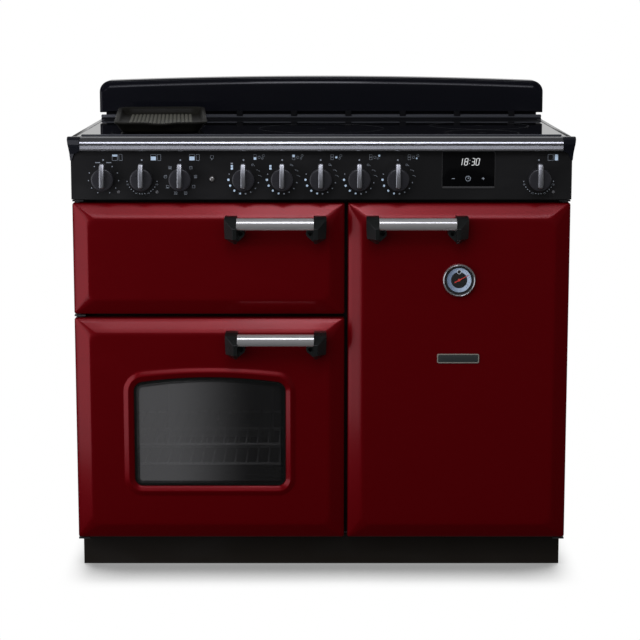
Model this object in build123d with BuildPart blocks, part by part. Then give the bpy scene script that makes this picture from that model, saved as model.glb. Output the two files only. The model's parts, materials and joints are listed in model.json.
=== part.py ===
from build123d import *
import os

# Induction range cooker. Millimetres, X to the right, Y to the back, Z up.
# The origin is on the floor under the middle of the whole cooker.

# Overall sizes
overall_width = 1000.0
overall_depth = 660.0
hob_height = 890.0

# Sheet thicknesses
body_sheet = 2.0
cavity_sheet = 1.5
door_skin = 2.5
liner_sheet = 3.0
glass_pane = 4.0

# Clearances
running_fit = 0.05
seat_gap = 0.3
swing_gap = 2.5
hole_gap = 1.0

# Front stack, from the handle bars back to the front frame
handle_bar_diameter = 24.0
finger_gap = 28.0
door_raise = 14.0
door_thickness = 45.0
door_gap = 5.0

# Front layout
cap_overhang = 6.0
cap_edge_radius = 2.0
plinth_top = 72.0
plinth_floor_gap = 3.0
plinth_setback = 10.0
trim_height = 27.0
fascia_height = 97.0
head_gap = 8.0
door_row_gap = 8.0
column_gap = 6.4
grill_door_height = 223.0
left_door_width = 540.0

# Doors
door_border = 30.0
door_edge_radius = 4.0
door_centre_radius = 19.0
window_width = 304.0
window_drop = 131.0
window_side_height = 211.0
window_rise = 12.0
window_radius = 16.0
window_rim = 16.0
window_rim_height = 4.0
window_rim_taper = 35.0
pane_margin = 10.0

# Hinges
hinge_edge_distance = 11.0
hinge_depth = 16.0
hinge_pin_radius = 4.0
hinge_pin_reach = 26.0
hinge_block_width = 14.0
hinge_block_height = 34.0
hinge_plate = 3.0
hinge_plate_width = 22.0

# Door handles
handle_length = 201.0
handle_end_inset = 36.0
handle_drop = 36.0
bracket_width = 25.0
bracket_rise = 15.0
bracket_fall = 38.0
bracket_shoulder = 20.0
bracket_facet = 6.0
bar_socket = 9.0

# Dial thermometer on the tall door
dial_radius = 32.5
dial_lens_radius = 28.0
dial_chamfer = 2.0
dial_height = 10.0
dial_recess = 7.0
dial_lens = 1.5
dial_drop = 152.0
needle_length = 20.0
needle_tail = 10.0
needle_width = 3.0
needle_thickness = 1.0
needle_hub_radius = 4.0
needle_pivot_radius = 1.5
needle_pivot_depth = 2.0
needle_lift = 1.5
needle_angle = 28.0

# Ovens
cavity_inset_side = 50.0
cavity_inset_bottom = 40.0
cavity_inset_top = 34.0
rear_space = 156.0
mouth_flange = 14.0
insulation = 28.0
seal_inner_margin = 3.0
seal_width = 12.0
main_rack_heights = (94.0, 135.0)
tall_rack_heights = (120.0, 280.0, 440.0)
rack_wire = 6.0
rack_rod = 4.0
rack_rod_pitch = 26.0
guide_wire = 5.0
guide_rail_width = 9.0
guide_front_setback = 22.0
guide_rear_gap = 32.0
grill_ledge_height = 42.0
grill_ledge_width = 14.0
grill_ledge_thickness = 4.0
pan_depth = 30.0
pan_rear_gap = 56.0
pan_sheet = 2.0
element_rod = 7.0
element_drop = 22.0
element_runs = 5
element_front_gap = 100.0
element_spread = 340.0

# Convection fans
fan_radius = 70.0
fan_width = 22.0
fan_wall_gap = 10.0
fan_blades = 8
fan_blade_inset = 3.0
fan_shaft_radius = 4.0
fan_hub_radius = 14.0
fan_plate = 2.0
fan_motor_radius = 35.0
fan_motor_length = 64.0
fan_motor_wall = 10.0
ring_radius = 92.0
ring_rod_radius = 3.5
ring_tail_offset = 7.0
cover_size = 236.0
cover_depth = 46.0
cover_leg = 10.0
cover_hole_radius = 6.0
cover_hole_ring = 40.0
cover_holes = 12
cover_inner_ring = 20.0
cover_inner_holes = 6
lamp_radius = 20.0
lamp_depth = 12.0
lamp_inset = 42.0
lamp_taper = 20.0

# Hob
glass_thickness = 6.0
hob_side_strip = 12.0
trim_depth = 28.0
trim_front_overhang = 12.0
end_cap_width = 26.0
rear_strip_depth = 108.0
rear_strip_drop = 1.0
hob_tray_depth = 84.0
hob_tray_front_gap = 18.0
coil_edge_inset = 138.0
coil_row_offset = 84.0
side_coil_radius = 78.0
centre_coil_radius = 110.0
coil_thickness = 9.0
coil_glass_gap = 0.5
coil_post_radius = 12.0
board_width = 130.0
board_length = 260.0
board_thickness = 3.0
board_heatsink_height = 32.0
board_offset = 185.0
heatsink_fin = 3.0
heatsink_fins = 7
heatsink_setback = 30.0

# Splashback
splashback_overhang = 5.0
splashback_depth = 60.0
splashback_rear_gap = 12.0
splashback_side_height = 83.0
splashback_rise = 10.0
splashback_radius = 24.0

# Control fascia
fascia_setback = 6.0
knob_pitch = 76.0
oven_knob_group_edge = 140.0
hob_knob_group_x = -1.5
tall_knob_edge = 65.5
knob_axis_drop = 56.0
knob_radius = 22.0
knob_drum = 27.5
knob_gap = 0.5
knob_projection = 39.5
grip_width = 11.0
grip_above_axis = 32.0
grip_below_axis = 16.0
grip_edge_radius = 2.0
spindle_radius = 3.0
spindle_length = 27.0
switch_radius = 20.0
switch_depth = 34.0
light_button_radius = 5.0
light_button_stand = 6.0
light_button_travel = 3.0
light_button_head = 12.0
plunger_radius = 3.0
plunger_length = 14.0
light_switch_radius = 12.0
light_switch_depth = 30.0
display_edge = 204.0
display_width = 97.0
display_height = 66.0
display_top_margin = 5.0
display_stand = 1.5
display_depth = 30.0
display_flange = 4.0

# Griddle
griddle_width = 188.0
griddle_length = 352.0
griddle_height = 27.0
griddle_edge_gap = 51.0
griddle_front_gap = 70.0
griddle_turn = 3.2
griddle_corner = 24.0
griddle_rim = 7.0
griddle_recess = 9.0
griddle_floor = 6.0
griddle_rib_pitch = 11.5
griddle_rib_width = 5.0
griddle_rib_height = 4.0
griddle_channel = 22.0
pour_dip_width = 46.0
pour_dip_depth = 5.0

# Base, feet and back
panel_lip = 15.0
rail_height = 20.0
rail_width = 30.0
rail_inset = 64.0
rail_setback = 30.0
foot_pad_radius = 20.0
foot_pad_height = 12.0
foot_stem_radius = 6.0
foot_setback = 40.0
plinth_return = 90.0
plinth_side_inset = 4.0
terminal_box_width = 110.0
terminal_box_height = 90.0
terminal_box_depth = 60.0
terminal_box_wall = 3.0
terminal_box_floor_gap = 40.0
terminal_box_side_gap = 60.0
gland_bore_radius = 8.0
gland_radius = 14.0
vent_slot_width = 60.0
vent_slot_height = 6.0
vent_slot_pitch_x = 90.0
vent_slot_pitch_z = 16.0
vent_columns = 8
vent_rows = 4
vent_drop = 70.0
wall_fixing_radius = 3.5
wall_fixing_pitch = 120.0
wall_fixing_drop = 24.0

# Levels and planes worked out from the sizes above
front_y = -overall_depth / 2
back_y = overall_depth / 2
body_half = overall_width / 2 - cap_overhang
door_face_y = front_y + handle_bar_diameter + finger_gap
door_edge_y = door_face_y + door_raise
door_back_y = door_face_y + door_thickness
liner_front_y = door_back_y - liner_sheet
frame_face_y = door_back_y + door_gap
frame_back_y = frame_face_y + body_sheet
panel_front_y = back_y - body_sheet
cavity_back_y = back_y - rear_space
bar_y = front_y + handle_bar_diameter / 2

base_top = plinth_top + body_sheet
trim_bottom = hob_height - trim_height
fascia_bottom = trim_bottom - fascia_height
door_top = fascia_bottom - head_gap
grill_door_bottom = door_top - grill_door_height
main_door_top = grill_door_bottom - door_row_gap

left_column = (-body_half, -body_half + left_door_width)
tall_column = (left_column[1] + column_gap, body_half)
grill_rows = (grill_door_bottom, door_top)
main_rows = (base_top, main_door_top)
tall_rows = (base_top, door_top)
left_hinge_x = left_column[0] + hinge_edge_distance
right_hinge_x = tall_column[1] - hinge_edge_distance
hinge_y = door_back_y - hinge_depth

fascia_front_y = door_face_y + fascia_setback
fascia_back_y = fascia_front_y + body_sheet
knob_axis_z = trim_bottom - knob_axis_drop
tall_knob_x = body_half - tall_knob_edge
oven_knob_group_x = -body_half + oven_knob_group_edge
display_x = body_half - display_edge
knob_positions = {
    "grill_knob": oven_knob_group_x - knob_pitch,
    "main_oven_temperature_knob": oven_knob_group_x,
    "main_oven_function_knob": oven_knob_group_x + knob_pitch,
    "left_rear_zone_knob": hob_knob_group_x - 2 * knob_pitch,
    "left_front_zone_knob": hob_knob_group_x - knob_pitch,
    "centre_zone_knob": hob_knob_group_x,
    "right_front_zone_knob": hob_knob_group_x + knob_pitch,
    "right_rear_zone_knob": hob_knob_group_x + 2 * knob_pitch,
    "tall_oven_temperature_knob": tall_knob_x,
}
light_button_x = (knob_positions["main_oven_function_knob"] + knob_positions["left_rear_zone_knob"]) / 2

trim_front_y = door_face_y - trim_front_overhang
glass_front_y = trim_front_y + trim_depth
glass_bottom = hob_height - glass_thickness
splash_back_y = back_y - splashback_rear_gap
splash_front_y = splash_back_y - splashback_depth
glass_back_y = splash_front_y - rear_strip_depth
glass_half = body_half - hob_side_strip - seat_gap
tray_flange_top = trim_bottom + body_sheet
tray_floor = glass_bottom - hob_tray_depth


def middle(limits):
    """Middle of a pair of limits."""
    return (limits[0] + limits[1]) / 2


def span(limits):
    """Distance between a pair of limits."""
    return limits[1] - limits[0]


def grown(limits, margin):
    """Limits moved outwards by a margin at both ends."""
    return (limits[0] - margin, limits[1] + margin)


def front(y):
    """Plane at depth y that faces the front, X to the right and Z up."""
    return Plane.XZ.offset(-y)


def block(x, y, z, mode=Mode.ADD):
    """Box between the limits given along each axis."""
    with Locations((middle(x), middle(y), middle(z))):
        Box(abs(span(x)), abs(span(y)), abs(span(z)), mode=mode)


def save(part, name):
    """Label a finished piece and write it out."""
    part.label = name
    export_step(part, f"parts/{name}.step")


def cavity_limits(column, rows):
    """Inner width and height limits of the oven behind a door."""
    width = (column[0] + cavity_inset_side, column[1] - cavity_inset_side)
    height = (rows[0] + cavity_inset_bottom, rows[1] - cavity_inset_top)
    return width, height


os.makedirs("parts", exist_ok=True)
body_depth = (frame_back_y, panel_front_y)
grill_x, grill_z = cavity_limits(left_column, grill_rows)
main_x, main_z = cavity_limits(left_column, main_rows)
tall_x, tall_z = cavity_limits(tall_column, tall_rows)
cavities = ((grill_x, grill_z), (main_x, main_z), (tall_x, tall_z))
fan_ovens = ((main_x, main_z), (tall_x, tall_z))
shelf_y = (frame_back_y + guide_front_setback, cavity_back_y - cover_depth - guide_rear_gap)


# Base tray with two rails for the feet
rail_x = body_half - rail_inset
with BuildPart() as base_tray:
    block((-body_half, body_half), body_depth, (plinth_top, base_top))
    for side in (-1, 1):
        rail_limits = grown((side * rail_x, side * rail_x), rail_width / 2)
        block(rail_limits, grown(body_depth, -rail_setback), (plinth_top - rail_height, plinth_top))
save(base_tray.part, "base_tray")

# Four screw feet under the rails
with BuildPart() as levelling_feet:
    foot_y = (body_depth[0] + rail_setback + foot_setback, body_depth[1] - rail_setback - foot_setback)
    stem_top = plinth_top - rail_height
    foot_places = [(side * rail_x, y, 0) for side in (-1, 1) for y in foot_y]
    with Locations(*foot_places):
        Cylinder(foot_pad_radius, foot_pad_height, align=(Align.CENTER, Align.CENTER, Align.MIN))
        Cylinder(foot_stem_radius, stem_top, align=(Align.CENTER, Align.CENTER, Align.MIN))
save(levelling_feet.part, "levelling_feet")

# Plinth, a bent sheet set back under the doors
plinth_front_y = frame_back_y + plinth_setback
plinth_half = body_half - plinth_side_inset
plinth_rows = (plinth_floor_gap, plinth_top)
with BuildPart() as plinth:
    block((-plinth_half, plinth_half), (plinth_front_y, plinth_front_y + body_sheet), plinth_rows)
    for side in (-1, 1):
        wall = (side * plinth_half, side * (plinth_half - body_sheet))
        block(wall, (plinth_front_y, plinth_front_y + plinth_return), plinth_rows)
save(plinth.part, "plinth")

# Side panels with lips along their lower and upper edges
for side, panel_name in ((-1, "left_side_panel"), (1, "right_side_panel")):
    wall = (side * body_half, side * (body_half - body_sheet))
    lip = (side * body_half, side * (body_half - panel_lip))
    with BuildPart() as side_panel:
        block(wall, body_depth, (base_top, trim_bottom))
        block(lip, body_depth, (base_top, base_top + body_sheet))
        block(lip, body_depth, (trim_bottom - body_sheet, trim_bottom))
    save(side_panel.part, panel_name)

# Terminal box inside the back, with a cable gland through the rear panel
box_x = (body_half - terminal_box_side_gap - terminal_box_width, body_half - terminal_box_side_gap)
box_y = (panel_front_y - terminal_box_depth, panel_front_y)
box_z = (base_top + terminal_box_floor_gap, base_top + terminal_box_floor_gap + terminal_box_height)
with BuildPart() as terminal_box:
    block(box_x, box_y, box_z)
    block(*[grown(limits, -terminal_box_wall) for limits in (box_x, box_y, box_z)], mode=Mode.SUBTRACT)
    with BuildSketch(front(back_y)):
        with Locations((middle(box_x), middle(box_z))):
            Circle(gland_radius)
    extrude(amount=body_sheet)
    with BuildSketch(front(back_y)):
        with Locations((middle(box_x), middle(box_z))):
            Circle(gland_bore_radius)
    extrude(amount=body_sheet + terminal_box_wall, mode=Mode.SUBTRACT)
save(terminal_box.part, "terminal_box")

# Rear panel with rows of vent slots, the gland hole and two holes for a wall bracket
with BuildPart() as rear_panel:
    block((-body_half, body_half), (panel_front_y, back_y), (base_top, trim_bottom))
    with BuildSketch(front(back_y)):
        with Locations((0, trim_bottom - vent_drop)):
            with GridLocations(vent_slot_pitch_x, vent_slot_pitch_z, vent_columns, vent_rows):
                SlotOverall(vent_slot_width, vent_slot_height)
        with Locations((middle(box_x), middle(box_z))):
            Circle(gland_radius + hole_gap)
        with Locations((0, trim_bottom - wall_fixing_drop)):
            with GridLocations(wall_fixing_pitch, 1, 2, 1):
                Circle(wall_fixing_radius)
    extrude(amount=body_sheet, mode=Mode.SUBTRACT)
save(rear_panel.part, "rear_panel")

# Front frame with three oven mouths and an opening behind the fascia
with BuildPart() as front_frame:
    block((-body_half, body_half), (frame_face_y, frame_back_y), (base_top, trim_bottom))
    for mouth_x, mouth_z in cavities:
        block(mouth_x, (frame_face_y, frame_back_y), mouth_z, mode=Mode.SUBTRACT)
    control_x = grown((-body_half, body_half), -panel_lip)
    control_z = (fascia_bottom + panel_lip, trim_bottom - panel_lip)
    block(control_x, (frame_face_y, frame_back_y), control_z, mode=Mode.SUBTRACT)
save(front_frame.part, "front_frame")


def oven_shell(x, z, has_fan):
    """Open-fronted oven box with a flange round its mouth and a shaft hole in its back."""
    depth = (frame_back_y, cavity_back_y + cavity_sheet)
    with BuildPart() as shell:
        block(grown(x, cavity_sheet), depth, grown(z, cavity_sheet))
        flange_y = (frame_back_y, frame_back_y + cavity_sheet)
        block(grown(x, mouth_flange), flange_y, grown(z, mouth_flange))
        block(x, (frame_back_y, cavity_back_y), z, mode=Mode.SUBTRACT)
        if has_fan:
            with BuildSketch(front(cavity_back_y)):
                with Locations((middle(x), middle(z))):
                    Circle(fan_shaft_radius + hole_gap)
            extrude(amount=-cavity_sheet, mode=Mode.SUBTRACT)
    return shell.part


# Oven boxes
save(oven_shell(main_x, main_z, True), "main_oven_cavity")
save(oven_shell(tall_x, tall_z, True), "tall_oven_cavity")

# Grill chamber, with a ledge along each side for the pan
ledge_y = (frame_back_y + cavity_sheet, cavity_back_y)
ledge_z = (grill_z[0] + grill_ledge_height, grill_z[0] + grill_ledge_height + grill_ledge_thickness)
with BuildPart() as grill_chamber:
    add(oven_shell(grill_x, grill_z, False))
    block((grill_x[0], grill_x[0] + grill_ledge_width), ledge_y, ledge_z)
    block((grill_x[1] - grill_ledge_width, grill_x[1]), ledge_y, ledge_z)
save(grill_chamber.part, "grill_chamber")

# Insulation wrapped round each oven box, open at the front
with BuildPart() as oven_insulation:
    blanket_front = frame_back_y + cavity_sheet + seat_gap
    shell_back = cavity_back_y + cavity_sheet + seat_gap
    for mouth_x, mouth_z in cavities:
        inner_x = grown(mouth_x, cavity_sheet + seat_gap)
        inner_z = grown(mouth_z, cavity_sheet + seat_gap)
        blanket_y = (blanket_front, shell_back + insulation)
        block(grown(inner_x, insulation), blanket_y, grown(inner_z, insulation))
        block(inner_x, (blanket_front, shell_back), inner_z, mode=Mode.SUBTRACT)
    for mouth_x, mouth_z in fan_ovens:
        with BuildSketch(front(shell_back)):
            with Locations((middle(mouth_x), middle(mouth_z))):
                Circle(fan_motor_radius + hole_gap)
        extrude(amount=-insulation, mode=Mode.SUBTRACT)
save(oven_insulation.part, "oven_insulation")

# Seals on the frame round each mouth
with BuildPart() as oven_door_seals:
    seal_y = (door_back_y + seat_gap, frame_face_y)
    for mouth_x, mouth_z in cavities:
        seal_x = grown(mouth_x, seal_inner_margin)
        seal_z = grown(mouth_z, seal_inner_margin)
        block(grown(seal_x, seal_width), seal_y, grown(seal_z, seal_width))
        block(seal_x, seal_y, seal_z, mode=Mode.SUBTRACT)
save(oven_door_seals.part, "oven_door_seals")

# Grill element, parallel rods joined at their ends and held at the back wall
element_z = grill_z[1] - element_drop
element_y = (frame_back_y + element_front_gap, cavity_back_y)
element_half = element_spread / 2
with BuildPart() as grill_element:
    rod_pitch = element_spread / (element_runs - 1)
    rod_z = grown((element_z, element_z), element_rod / 2)
    for index in range(element_runs):
        rod_x = middle(grill_x) - element_half + index * rod_pitch
        block(grown((rod_x, rod_x), element_rod / 2), element_y, rod_z)
    cross_x = grown((middle(grill_x), middle(grill_x)), element_half)
    block(cross_x, (element_y[0], element_y[0] + element_rod), rod_z)

# Grill pan hanging by its rim on the ledges, and the trivet in it
pan_top = ledge_z[1] + pan_sheet
pan_x = grown(grill_x, -grill_ledge_width - hole_gap)
pan_y = (ledge_y[0] + guide_front_setback, cavity_back_y - pan_rear_gap)
with BuildPart() as grill_pan:
    block(grown(pan_x, grill_ledge_width - hole_gap), pan_y, (ledge_z[1], pan_top))
    block(pan_x, pan_y, (pan_top - pan_depth, pan_top))
    pan_inner = grown(pan_x, -pan_sheet)
    pan_inner_y = grown(pan_y, -pan_sheet)
    block(pan_inner, pan_inner_y, (pan_top - pan_depth + pan_sheet, pan_top), mode=Mode.SUBTRACT)
with BuildPart() as trivet:
    trivet_x = grown(pan_inner, -hole_gap)
    trivet_y = grown(pan_inner_y, -hole_gap)
    trivet_z = (pan_top - pan_depth + pan_sheet, pan_top - pan_depth + pan_sheet + rack_wire)
    block(trivet_x, trivet_y, trivet_z)
    block(grown(trivet_x, -rack_wire), grown(trivet_y, -rack_wire), trivet_z, mode=Mode.SUBTRACT)
    trivet_rods = int(span(trivet_x) / rack_rod_pitch)
    with Locations((middle(trivet_x), middle(trivet_y), trivet_z[1] - rack_rod / 2)):
        with GridLocations(rack_rod_pitch, 1, trivet_rods, 1):
            Box(rack_rod, span(trivet_y) - rack_wire, rack_rod)
save(Compound(children=[grill_pan.part, trivet.part]), "grill_pan")


def shelf_guide(x_wall, inward, z, heights):
    """Wire ladder on one oven wall, with a rail at each shelf height."""
    with BuildPart() as guide:
        for post_y in (shelf_y[0], shelf_y[1] - guide_wire):
            post_x = (x_wall, x_wall + inward * guide_wire)
            block(post_x, (post_y, post_y + guide_wire), (z[0], z[0] + heights[-1] + guide_wire))
        for height in heights:
            rail_x = (x_wall, x_wall + inward * (guide_wire + guide_rail_width))
            rail_z = (z[0] + height - guide_wire, z[0] + height)
            block(rail_x, shelf_y, rail_z)
    return guide.part


# Shelf guides on both sides of the two fan ovens
guide_parts = []
for (oven_x, oven_z), heights in zip(fan_ovens, (main_rack_heights, tall_rack_heights)):
    guide_parts.append(shelf_guide(oven_x[0], 1, oven_z, heights))
    guide_parts.append(shelf_guide(oven_x[1], -1, oven_z, heights))
save(Compound(children=guide_parts), "shelf_guides")


def wire_racks(x, z, heights):
    """Wire shelves standing on the guide rails."""
    rack_x = grown(x, -guide_wire - hole_gap)
    rods = int(span(rack_x) / rack_rod_pitch)
    with BuildPart() as racks:
        for height in heights:
            wire_z = (z[0] + height, z[0] + height + rack_wire)
            block(rack_x, shelf_y, wire_z)
            block(grown(rack_x, -rack_wire), grown(shelf_y, -rack_wire), wire_z, mode=Mode.SUBTRACT)
            with Locations((middle(rack_x), middle(shelf_y), wire_z[1] - rack_rod / 2)):
                with GridLocations(rack_rod_pitch, 1, rods, 1):
                    Box(rack_rod, span(shelf_y) - rack_wire, rack_rod)
    return racks.part


# Wire shelves
save(wire_racks(main_x, main_z, main_rack_heights), "main_oven_racks")
save(wire_racks(tall_x, tall_z, tall_rack_heights), "tall_oven_racks")

# Fan covers on four legs, with a ring of air holes
with BuildPart() as fan_covers:
    cover_front_y = cavity_back_y - cover_depth
    for oven_x, oven_z in fan_ovens:
        cover_x = grown((middle(oven_x), middle(oven_x)), cover_size / 2)
        cover_z = grown((middle(oven_z), middle(oven_z)), cover_size / 2)
        block(cover_x, (cover_front_y, cover_front_y + fan_plate), cover_z)
        leg_offset = cover_size / 2 - cover_leg / 2
        for side in (-1, 1):
            for level in (-1, 1):
                leg_x = middle(oven_x) + side * leg_offset
                leg_z = middle(oven_z) + level * leg_offset
                leg = grown((leg_x, leg_x), cover_leg / 2)
                block(leg, (cover_front_y, cavity_back_y), grown((leg_z, leg_z), cover_leg / 2))
        with BuildSketch(front(cover_front_y)):
            with Locations((middle(oven_x), middle(oven_z))):
                with PolarLocations(cover_hole_ring, cover_holes):
                    Circle(cover_hole_radius)
                with PolarLocations(cover_inner_ring, cover_inner_holes):
                    Circle(cover_hole_radius)
        extrude(amount=-fan_plate, mode=Mode.SUBTRACT)
save(fan_covers.part, "fan_covers")

# Ring elements round the fans, with two tails into the back wall
with BuildPart() as fan_ring_elements:
    ring_y = cavity_back_y - fan_wall_gap - fan_width / 2
    for oven_x, oven_z in fan_ovens:
        with Locations(Location((middle(oven_x), ring_y, middle(oven_z)), (90, 0, 0))):
            Torus(ring_radius, ring_rod_radius)
        for side in (-1, 1):
            tail_x = middle(oven_x) + side * ring_tail_offset
            tail = grown((tail_x, tail_x), ring_rod_radius)
            tail_z = middle(oven_z) + ring_radius
            block(tail, (ring_y, cavity_back_y), grown((tail_z, tail_z), ring_rod_radius))
save(Compound(children=[grill_element.part, fan_ring_elements.part]), "heating_elements")

# Fan motors on the backs of the ovens
motor_front_y = cavity_back_y + cavity_sheet
with BuildPart() as fan_motors:
    for oven_x, oven_z in fan_ovens:
        with BuildSketch(front(motor_front_y)):
            with Locations((middle(oven_x), middle(oven_z))):
                Circle(fan_motor_radius)
        extrude(amount=-fan_motor_length)
        with BuildSketch(front(motor_front_y)):
            with Locations((middle(oven_x), middle(oven_z))):
                Circle(fan_shaft_radius + running_fit)
        extrude(amount=-fan_motor_length + fan_motor_wall, mode=Mode.SUBTRACT)
save(fan_motors.part, "fan_motors")

# Convection fans, bladed wheels on their shafts
for (oven_x, oven_z), fan_name in zip(fan_ovens, ("main_oven_fan", "tall_oven_fan")):
    fan_back_y = cavity_back_y - fan_wall_gap
    blade = (fan_shaft_radius, fan_radius - fan_blade_inset)
    with BuildPart() as fan:
        with BuildSketch(front(fan_back_y)):
            with Locations((middle(oven_x), middle(oven_z))):
                Circle(fan_radius)
        extrude(amount=fan_plate)
        with BuildSketch(front(fan_back_y)):
            with Locations((middle(oven_x), middle(oven_z))):
                Circle(fan_hub_radius)
                with PolarLocations(middle(blade), fan_blades):
                    Rectangle(span(blade), fan_plate)
        extrude(amount=fan_width)
        with BuildSketch(front(fan_back_y)):
            with Locations((middle(oven_x), middle(oven_z))):
                Circle(fan_shaft_radius)
        shaft_end_y = motor_front_y + fan_motor_length - fan_motor_wall - hole_gap
        extrude(amount=fan_back_y - shaft_end_y)
    save(fan.part, fan_name)

# Oven lamps, domed lenses on the back walls
with BuildPart() as oven_lamps:
    for oven_x, oven_z in fan_ovens:
        with BuildSketch(front(cavity_back_y)):
            with Locations((oven_x[1] - lamp_inset, oven_z[1] - lamp_inset)):
                Circle(lamp_radius)
        extrude(amount=lamp_depth, taper=lamp_taper)
save(oven_lamps.part, "oven_lamps")

# Hob tray, an open pan hung by its flange on the body
hob_tray_x = grown((-glass_half, glass_half), -hob_side_strip)
hob_tray_y = (frame_back_y + hob_tray_front_gap, glass_back_y - hob_side_strip)
with BuildPart() as hob_tray:
    block((-body_half, body_half), body_depth, (trim_bottom, tray_flange_top))
    block(hob_tray_x, hob_tray_y, (tray_floor, glass_bottom))
    tray_inside = grown(hob_tray_x, -body_sheet)
    tray_inside_y = grown(hob_tray_y, -body_sheet)
    block(tray_inside, tray_inside_y, (tray_floor + body_sheet, glass_bottom), mode=Mode.SUBTRACT)
save(hob_tray.part, "hob_tray")

# Ceramic glass on the tray's rim
with BuildPart() as hob_glass:
    block((-glass_half, glass_half), (glass_front_y, glass_back_y), (glass_bottom, hob_height))
save(hob_glass.part, "hob_glass")

# Steel trim: a rounded bar along the front, and a frame at the sides and back
trim_half = overall_width / 2 - end_cap_width
with BuildPart() as front_trim:
    with BuildSketch(Plane.YZ.offset(-trim_half)):
        with BuildLine():
            Line((trim_front_y + trim_front_overhang, hob_height), (glass_front_y - seat_gap, hob_height))
            Line((glass_front_y - seat_gap, hob_height), (glass_front_y - seat_gap, trim_bottom))
            Line((glass_front_y - seat_gap, trim_bottom), (trim_front_y + trim_front_overhang, trim_bottom))
            ThreePointArc(
                (trim_front_y + trim_front_overhang, trim_bottom),
                (trim_front_y, middle((trim_bottom, hob_height))),
                (trim_front_y + trim_front_overhang, hob_height),
            )
        make_face()
    extrude(amount=2 * trim_half)
with BuildPart() as frame_trim:
    strip_y = (glass_front_y, splash_front_y)
    rear_top = hob_height - rear_strip_drop
    for side in (-1, 1):
        strip_x = (side * body_half, side * (body_half - hob_side_strip))
        block(strip_x, strip_y, (tray_flange_top, hob_height))
    rear_x = grown((-body_half, body_half), -hob_side_strip)
    rear_y = (glass_back_y + seat_gap, splash_front_y)
    block(rear_x, rear_y, (rear_top - body_sheet, rear_top))
    block(rear_x, (rear_y[0], rear_y[0] + body_sheet), (tray_flange_top, rear_top))
save(Compound(children=[front_trim.part, frame_trim.part]), "hob_trim")

# Black caps at the ends of the front trim
with BuildPart() as trim_end_caps:
    for side in (-1, 1):
        cap_x = (side * (trim_half + seat_gap), side * overall_width / 2)
        block(cap_x, (trim_front_y, glass_front_y - seat_gap), (trim_bottom, hob_height))
    fillet(trim_end_caps.faces().sort_by(Axis.Y)[:2].edges(), cap_edge_radius)
save(trim_end_caps.part, "trim_end_caps")

# Five induction coils on posts under the glass
coil_top = glass_bottom - coil_glass_gap
coil_bottom = coil_top - coil_thickness
coil_middle_y = middle(hob_tray_y)
side_coil_x = glass_half - coil_edge_inset
coil_places = [(0, 0, centre_coil_radius)]
for side in (-1, 1):
    for row in (-1, 1):
        coil_places.append((side * side_coil_x, row * coil_row_offset, side_coil_radius))
with BuildPart() as induction_coils:
    post_foot = tray_floor + body_sheet
    for coil_x, coil_y, coil_radius in coil_places:
        with Locations((coil_x, coil_middle_y + coil_y, coil_top)):
            Cylinder(coil_radius, coil_thickness, align=(Align.CENTER, Align.CENTER, Align.MAX))
        with Locations((coil_x, coil_middle_y + coil_y, post_foot)):
            Cylinder(
                coil_post_radius,
                coil_bottom - post_foot,
                align=(Align.CENTER, Align.CENTER, Align.MIN),
            )
save(induction_coils.part, "induction_coils")

# Two power boards with finned heatsinks on the tray floor
with BuildPart() as induction_boards:
    board_z = (tray_floor + body_sheet, tray_floor + body_sheet + board_thickness)
    board_y = grown((coil_middle_y, coil_middle_y), board_length / 2)
    fin_pitch = (board_width - heatsink_fin) / (heatsink_fins - 1) / 2
    for side in (-1, 1):
        board_x = grown((side * board_offset, side * board_offset), board_width / 2)
        block(board_x, board_y, board_z)
        for index in range(heatsink_fins):
            fin_x = (board_x[0] + index * fin_pitch, board_x[0] + index * fin_pitch + heatsink_fin)
            block(fin_x, grown(board_y, -heatsink_setback), (board_z[1], board_z[1] + board_heatsink_height))
save(induction_boards.part, "induction_boards")

# Splashback, a hollow pressing with a gently arched top
splash_half = body_half + splashback_overhang
splash_side_top = hob_height + splashback_side_height
with BuildPart() as splashback:
    for inset, mode in ((0, Mode.ADD), (body_sheet, Mode.SUBTRACT)):
        half = splash_half - inset
        low = tray_flange_top - inset
        high = splash_side_top - inset
        with BuildSketch(front(splash_back_y)) as splash_outline:
            with BuildLine():
                Polyline((-half, high), (-half, low), (half, low), (half, high))
                ThreePointArc((half, high), (0, high + splashback_rise), (-half, high))
            make_face()
            fillet(splash_outline.vertices().group_by(Axis.Y)[-1], splashback_radius - inset)
        extrude(amount=splashback_depth - inset, mode=mode)
save(splashback.part, "splashback")

# Control fascia, a channel with holes for the knobs, the button and the display
display_z = (trim_bottom - display_top_margin - display_height, trim_bottom - display_top_margin)
display_limits = grown((display_x, display_x), display_width / 2)
with BuildPart() as control_fascia:
    fascia_x = (-body_half, body_half)
    block(fascia_x, (fascia_front_y, frame_face_y), (fascia_bottom, trim_bottom))
    inner_z = grown((fascia_bottom, trim_bottom), -body_sheet)
    block(grown(fascia_x, -body_sheet), (fascia_back_y, frame_face_y), inner_z, mode=Mode.SUBTRACT)
    with BuildSketch(front(fascia_back_y)):
        for knob_x in knob_positions.values():
            with Locations((knob_x, knob_axis_z)):
                Circle(spindle_radius + hole_gap)
        with Locations((light_button_x, knob_axis_z)):
            Circle(light_button_radius + hole_gap)
        with Locations((display_x, middle(display_z))):
            Rectangle(display_width + 2 * seat_gap, display_height + 2 * seat_gap)
    extrude(amount=body_sheet, mode=Mode.SUBTRACT)
save(control_fascia.part, "control_fascia")

# Clock display, a glass front standing just proud of the fascia
with BuildPart() as timer_display:
    block(display_limits, (fascia_front_y - display_stand, fascia_back_y), display_z)
    flange_z = (display_z[0] - display_flange, min(display_z[1] + display_flange, trim_bottom - body_sheet))
    block(grown(display_limits, display_flange), (fascia_back_y, fascia_back_y + display_depth), flange_z)
save(timer_display.part, "timer_display")

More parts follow.
